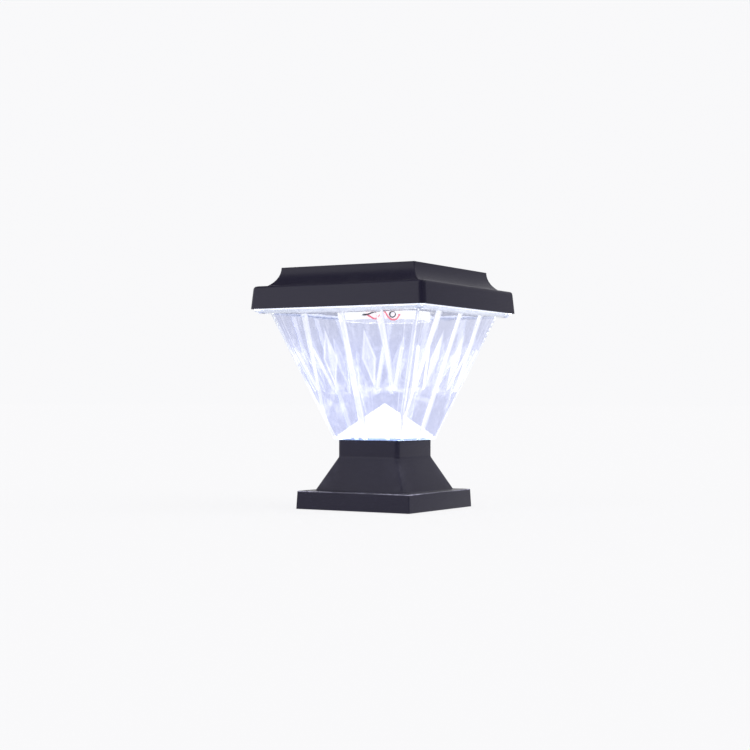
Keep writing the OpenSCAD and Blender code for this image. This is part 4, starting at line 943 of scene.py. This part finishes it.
# Places by the lamp: distance from the hole's ring, turn, and droop as a share of the lamp's height
DROOPS = {
    "led_lead_red": ((0, -65, 0.62), (-0.4, -68.5, 1), (-1, -73, 0.97), (-1.4, -78, 0.7)),
    "led_lead_black": ((2, -66, 0.22), (2, -71, 0.3), (1, -77.5, 0.55), (-1.6, -84.5, 0.58)),
    "switch_lead_red": ((0.6, -58.6, 0.45), (0.4, -55, 0.97), (0.2, -51, 1.14), (-0.6, -46.5, 1.03),
                        (-2.4, -42.6, 0.64))}
DROOPS = {name: [polar(HOLE_R + out, turn, Z_CAP - down * LAMP_H) for out, turn, down in places]
          for name, places in DROOPS.items()}
ROUTES = {
    "led_lead_red": board_end(1) + DROOPS["led_lead_red"] + led_pad(-82.5),
    "led_lead_black": board_end(0) + DROOPS["led_lead_black"] + led_pad(-87.5),
    "switch_lead_red": board_end(2) + DROOPS["switch_lead_red"] + [
        polar(LAMP_R + 0.6, SWITCH_TURN, Z_BUTTON), polar(LAMP_R - 2.2, SWITCH_TURN, Z_BUTTON),
        by_button(SWITCH_OUT - 4, 4.75, Z_BUTTON), by_button(SWITCH_OUT - 6, 4.2, Z_BUTTON)],
    "battery_lead_red": contact_end(-1) + [
        (-0.51 * HOLDER_L, BATTERY_Y - 0.76 * HOLDER_W, Z_LIE + 3),
        (-0.56 * HOLDER_L, 0.2 * BATTERY_Y, Z_LIE), (CONTROL_X - CONTROL_L / 3, -0.4 * BATTERY_Y, Z_LIE)]
    + battery_end(CONTROL_X - 0.35 * CONTROL_L),
    "battery_lead_black": contact_end(1) + [
        (0.49 * HOLDER_L, BATTERY_Y - 0.76 * HOLDER_W, Z_LIE + 3), (0.41 * HOLDER_L, 0.25 * BATTERY_Y, Z_LIE),
        (0.06 * HOLDER_L, -0.2 * BATTERY_Y, Z_LIE), (CONTROL_X, EDGE_Y + 0.58 * CONTROL_W, Z_LIE)]
    + battery_end(CONTROL_X - 0.24 * CONTROL_L),
    "panel_lead_red": panel_route(-1),
    "panel_lead_black": panel_route(1)}


def lead_tube(name, route):
    """A round lead swept along a smooth line through its route."""
    sides, steps = 12, 8
    p = [Vector(route[0])] + [Vector(q) for q in route] + [Vector(route[-1])]
    line = []
    for i in range(1, len(p) - 2):
        for k in range(steps):
            t = k / steps
            line.append(0.5 * (2 * p[i] + (p[i + 1] - p[i - 1]) * t
                               + (2 * p[i - 1] - 5 * p[i] + 4 * p[i + 1] - p[i + 2]) * t * t
                               + (3 * p[i] - p[i - 1] - 3 * p[i + 1] + p[i + 2]) * t * t * t))
    line.append(p[-1])
    verts, side = [], Vector((0.36, 0.48, 0.8))
    for i, here in enumerate(line):
        along = (line[min(i + 1, len(line) - 1)] - line[max(i - 1, 0)]).normalized()
        side = (side - along * side.dot(along)).normalized()
        other = along.cross(side)
        for k in range(sides):
            a = 2 * math.pi * k / sides
            verts.append(here + LEAD_R * (math.cos(a) * side + math.sin(a) * other))
    last = (len(line) - 1) * sides
    faces = [(r + k, r + (k + 1) % sides, r + sides + (k + 1) % sides, r + sides + k)
             for r in range(0, last, sides) for k in range(sides)]
    faces += [tuple(range(sides - 1, -1, -1)), tuple(last + k for k in range(sides))]
    return piece(name, verts, faces)


for node, route in ROUTES.items():
    tube = lead_tube(node + "_tube", route)
    smooth(tube, 60)
    red = node.endswith("red")
    # The red leads by the lamp get the finish with painted lamp light
    by_lamp = node in ("led_lead_red", "switch_lead_red")
    red_finish = PAINTED_LIT_LEAD if by_lamp else RED_LEAD
    paint(tube, red_finish if red else BLACK_LEAD)
    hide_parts(node)


# Camera at the photograph's place

camera = bpy.data.objects.new("camera", bpy.data.cameras.new("camera"))
camera.data.lens, camera.data.sensor_width = 72.95, 36.0
camera.data.clip_start, camera.data.clip_end = 0.05, 200.0
camera.location = (0.608644, -1.035700, 0.082227)
camera.rotation_euler = (math.radians(91.069), math.radians(-0.17), math.radians(30.828))
bpy.context.scene.collection.objects.link(camera)
bpy.context.scene.camera = camera


# Studio: pale floor, white surroundings, soft lamps and dark flags that only gloss sees

BACKDROP, SKY_LIGHT, COOL = 0.945, 0.62, 1.012
FLOOR_SHADE, FLOOR_GLOW = 0.14, 0.83


def seen_directly(tree):
    """1 for rays that show the background: from the camera, in gloss and through clear plastic."""
    path = tree.nodes.new("ShaderNodeLightPath")
    first = figure(tree, "MAXIMUM", path.outputs["Is Camera Ray"], path.outputs["Is Glossy Ray"])
    return figure(tree, "MAXIMUM", first, path.outputs["Is Transmission Ray"])


world = bpy.data.worlds.new("studio")
bpy.context.scene.world = world
world.use_nodes = True
sky = world.node_tree
sky.nodes.clear()
shown = add(sky, "ShaderNodeBackground", Color=(BACKDROP, BACKDROP, BACKDROP * COOL, 1), Strength=1.0)
light = add(sky, "ShaderNodeBackground", Color=(1.0, 0.99, 1.0, 1), Strength=SKY_LIGHT)
mix = add(sky, "ShaderNodeMixShader", {0: seen_directly(sky), 1: light.outputs[0], 2: shown.outputs[0]})
add(sky, "ShaderNodeOutputWorld", {0: mix.outputs[0]})


def floor_finish():
    """Floor that shows as the backdrop's white, takes a soft shadow and lets the light be seen from below."""
    material = bpy.data.materials.new("floor")
    material.use_nodes = True
    tree = material.node_tree
    tree.nodes.clear()
    plain = add(tree, "ShaderNodeBsdfDiffuse", Color=(0.8, 0.8, 0.8, 1))
    faint = add(tree, "ShaderNodeBsdfDiffuse", Color=(FLOOR_SHADE, FLOOR_SHADE, FLOOR_SHADE, 1))
    glow = add(tree, "ShaderNodeEmission", Color=(1, 1, COOL, 1), Strength=FLOOR_GLOW)
    both = add(tree, "ShaderNodeAddShader", {0: faint.outputs[0], 1: glow.outputs[0]})
    seen = seen_directly(tree)
    mixed = add(tree, "ShaderNodeMixShader", {0: seen, 1: plain.outputs[0], 2: both.outputs[0]})
    under = add(tree, "ShaderNodeNewGeometry").outputs["Backfacing"]
    gone = add(tree, "ShaderNodeBsdfTransparent")
    shown = add(tree, "ShaderNodeMixShader", {0: under, 1: mixed.outputs[0], 2: gone.outputs[0]})
    add(tree, "ShaderNodeOutputMaterial", {0: shown.outputs[0]})
    return material


def flat_sheet(name, size_x, size_y, place, towards=None):
    """A flat stage sheet, facing a point where one is given."""
    mesh = bpy.data.meshes.new(name)
    x, y = size_x / 2, size_y / 2
    mesh.from_pydata([(-x, -y, 0), (x, -y, 0), (x, y, 0), (-x, y, 0)], [], [(0, 1, 2, 3)])
    made = bpy.data.objects.new(name, mesh)
    bpy.context.scene.collection.objects.link(made)
    made.location = place
    if towards is not None:
        made.rotation_euler = (Vector(towards) - Vector(place)).to_track_quat("Z", "Y").to_euler()
    return made


floor = flat_sheet("floor", 120, 120, (0, 0, -0.0002))
floor.data.materials.append(floor_finish())


def soft_lamp(name, azimuth, height, spread, strength, colour=(1, 1, 1)):
    """A broad even lamp far away; azimuth is measured from +X towards +Y, in degrees."""
    data = bpy.data.lights.new(name, "SUN")
    data.angle, data.energy, data.color = math.radians(spread), strength, colour
    made = bpy.data.objects.new(name, data)
    bpy.context.scene.collection.objects.link(made)
    a, h = math.radians(azimuth), math.radians(height)
    towards = Vector((math.cos(a) * math.cos(h), math.sin(a) * math.cos(h), math.sin(h)))
    made.rotation_euler = towards.to_track_quat("Z", "Y").to_euler()
    made.visible_transmission = False


def flag(name, size_x, size_y, place, glow=0.0):
    """A black or grey sheet that only glossy reflections see."""
    made = flat_sheet(name, size_x, size_y, place, (0, 0, 0.1))
    material, _, shader = finish(name)
    shader.inputs["Base Color"].default_value = (0, 0, 0, 1)
    shader.inputs["Specular IOR Level"].default_value = 0.0
    shader.inputs["Emission Color"].default_value = (0.96, 0.95, 1, 1)
    shader.inputs["Emission Strength"].default_value = glow
    made.data.materials.append(material)
    made.visible_camera = made.visible_diffuse = made.visible_transmission = False
    made.visible_shadow = made.visible_volume_scatter = False


soft_lamp("key_lamp", 15, 38, 60, 0.9)
soft_lamp("front_lamp", -110, 14, 70, 0.7, (1, 0.99, 0.98))
# The dark corners and cove, the grey right faces and the darker foot of the photograph
flag("corner_flag", 1.6, 0.56, (0.43, -0.257, 0.28))
flag("back_flag", 0.9, 1.3, (0.36, 0.6, 0.5), 0.5)
flag("near_flag", 0.4, 0.045, (0, -0.092, 0.25))
flag("low_flag", 0.5, 0.05, (-0.16, -0.36, 0.022), 0.1)
flag("top_flag", 1.6, 1.4, (-0.75, 0.2, 1.3))

bpy.context.scene.view_settings.view_transform = "Standard"
bpy.context.scene.cycles.max_bounces = 24
bpy.context.scene.cycles.glossy_bounces = 20
bpy.context.scene.cycles.transmission_bounces = 24
bpy.context.scene.cycles.denoising_input_passes = "RGB"
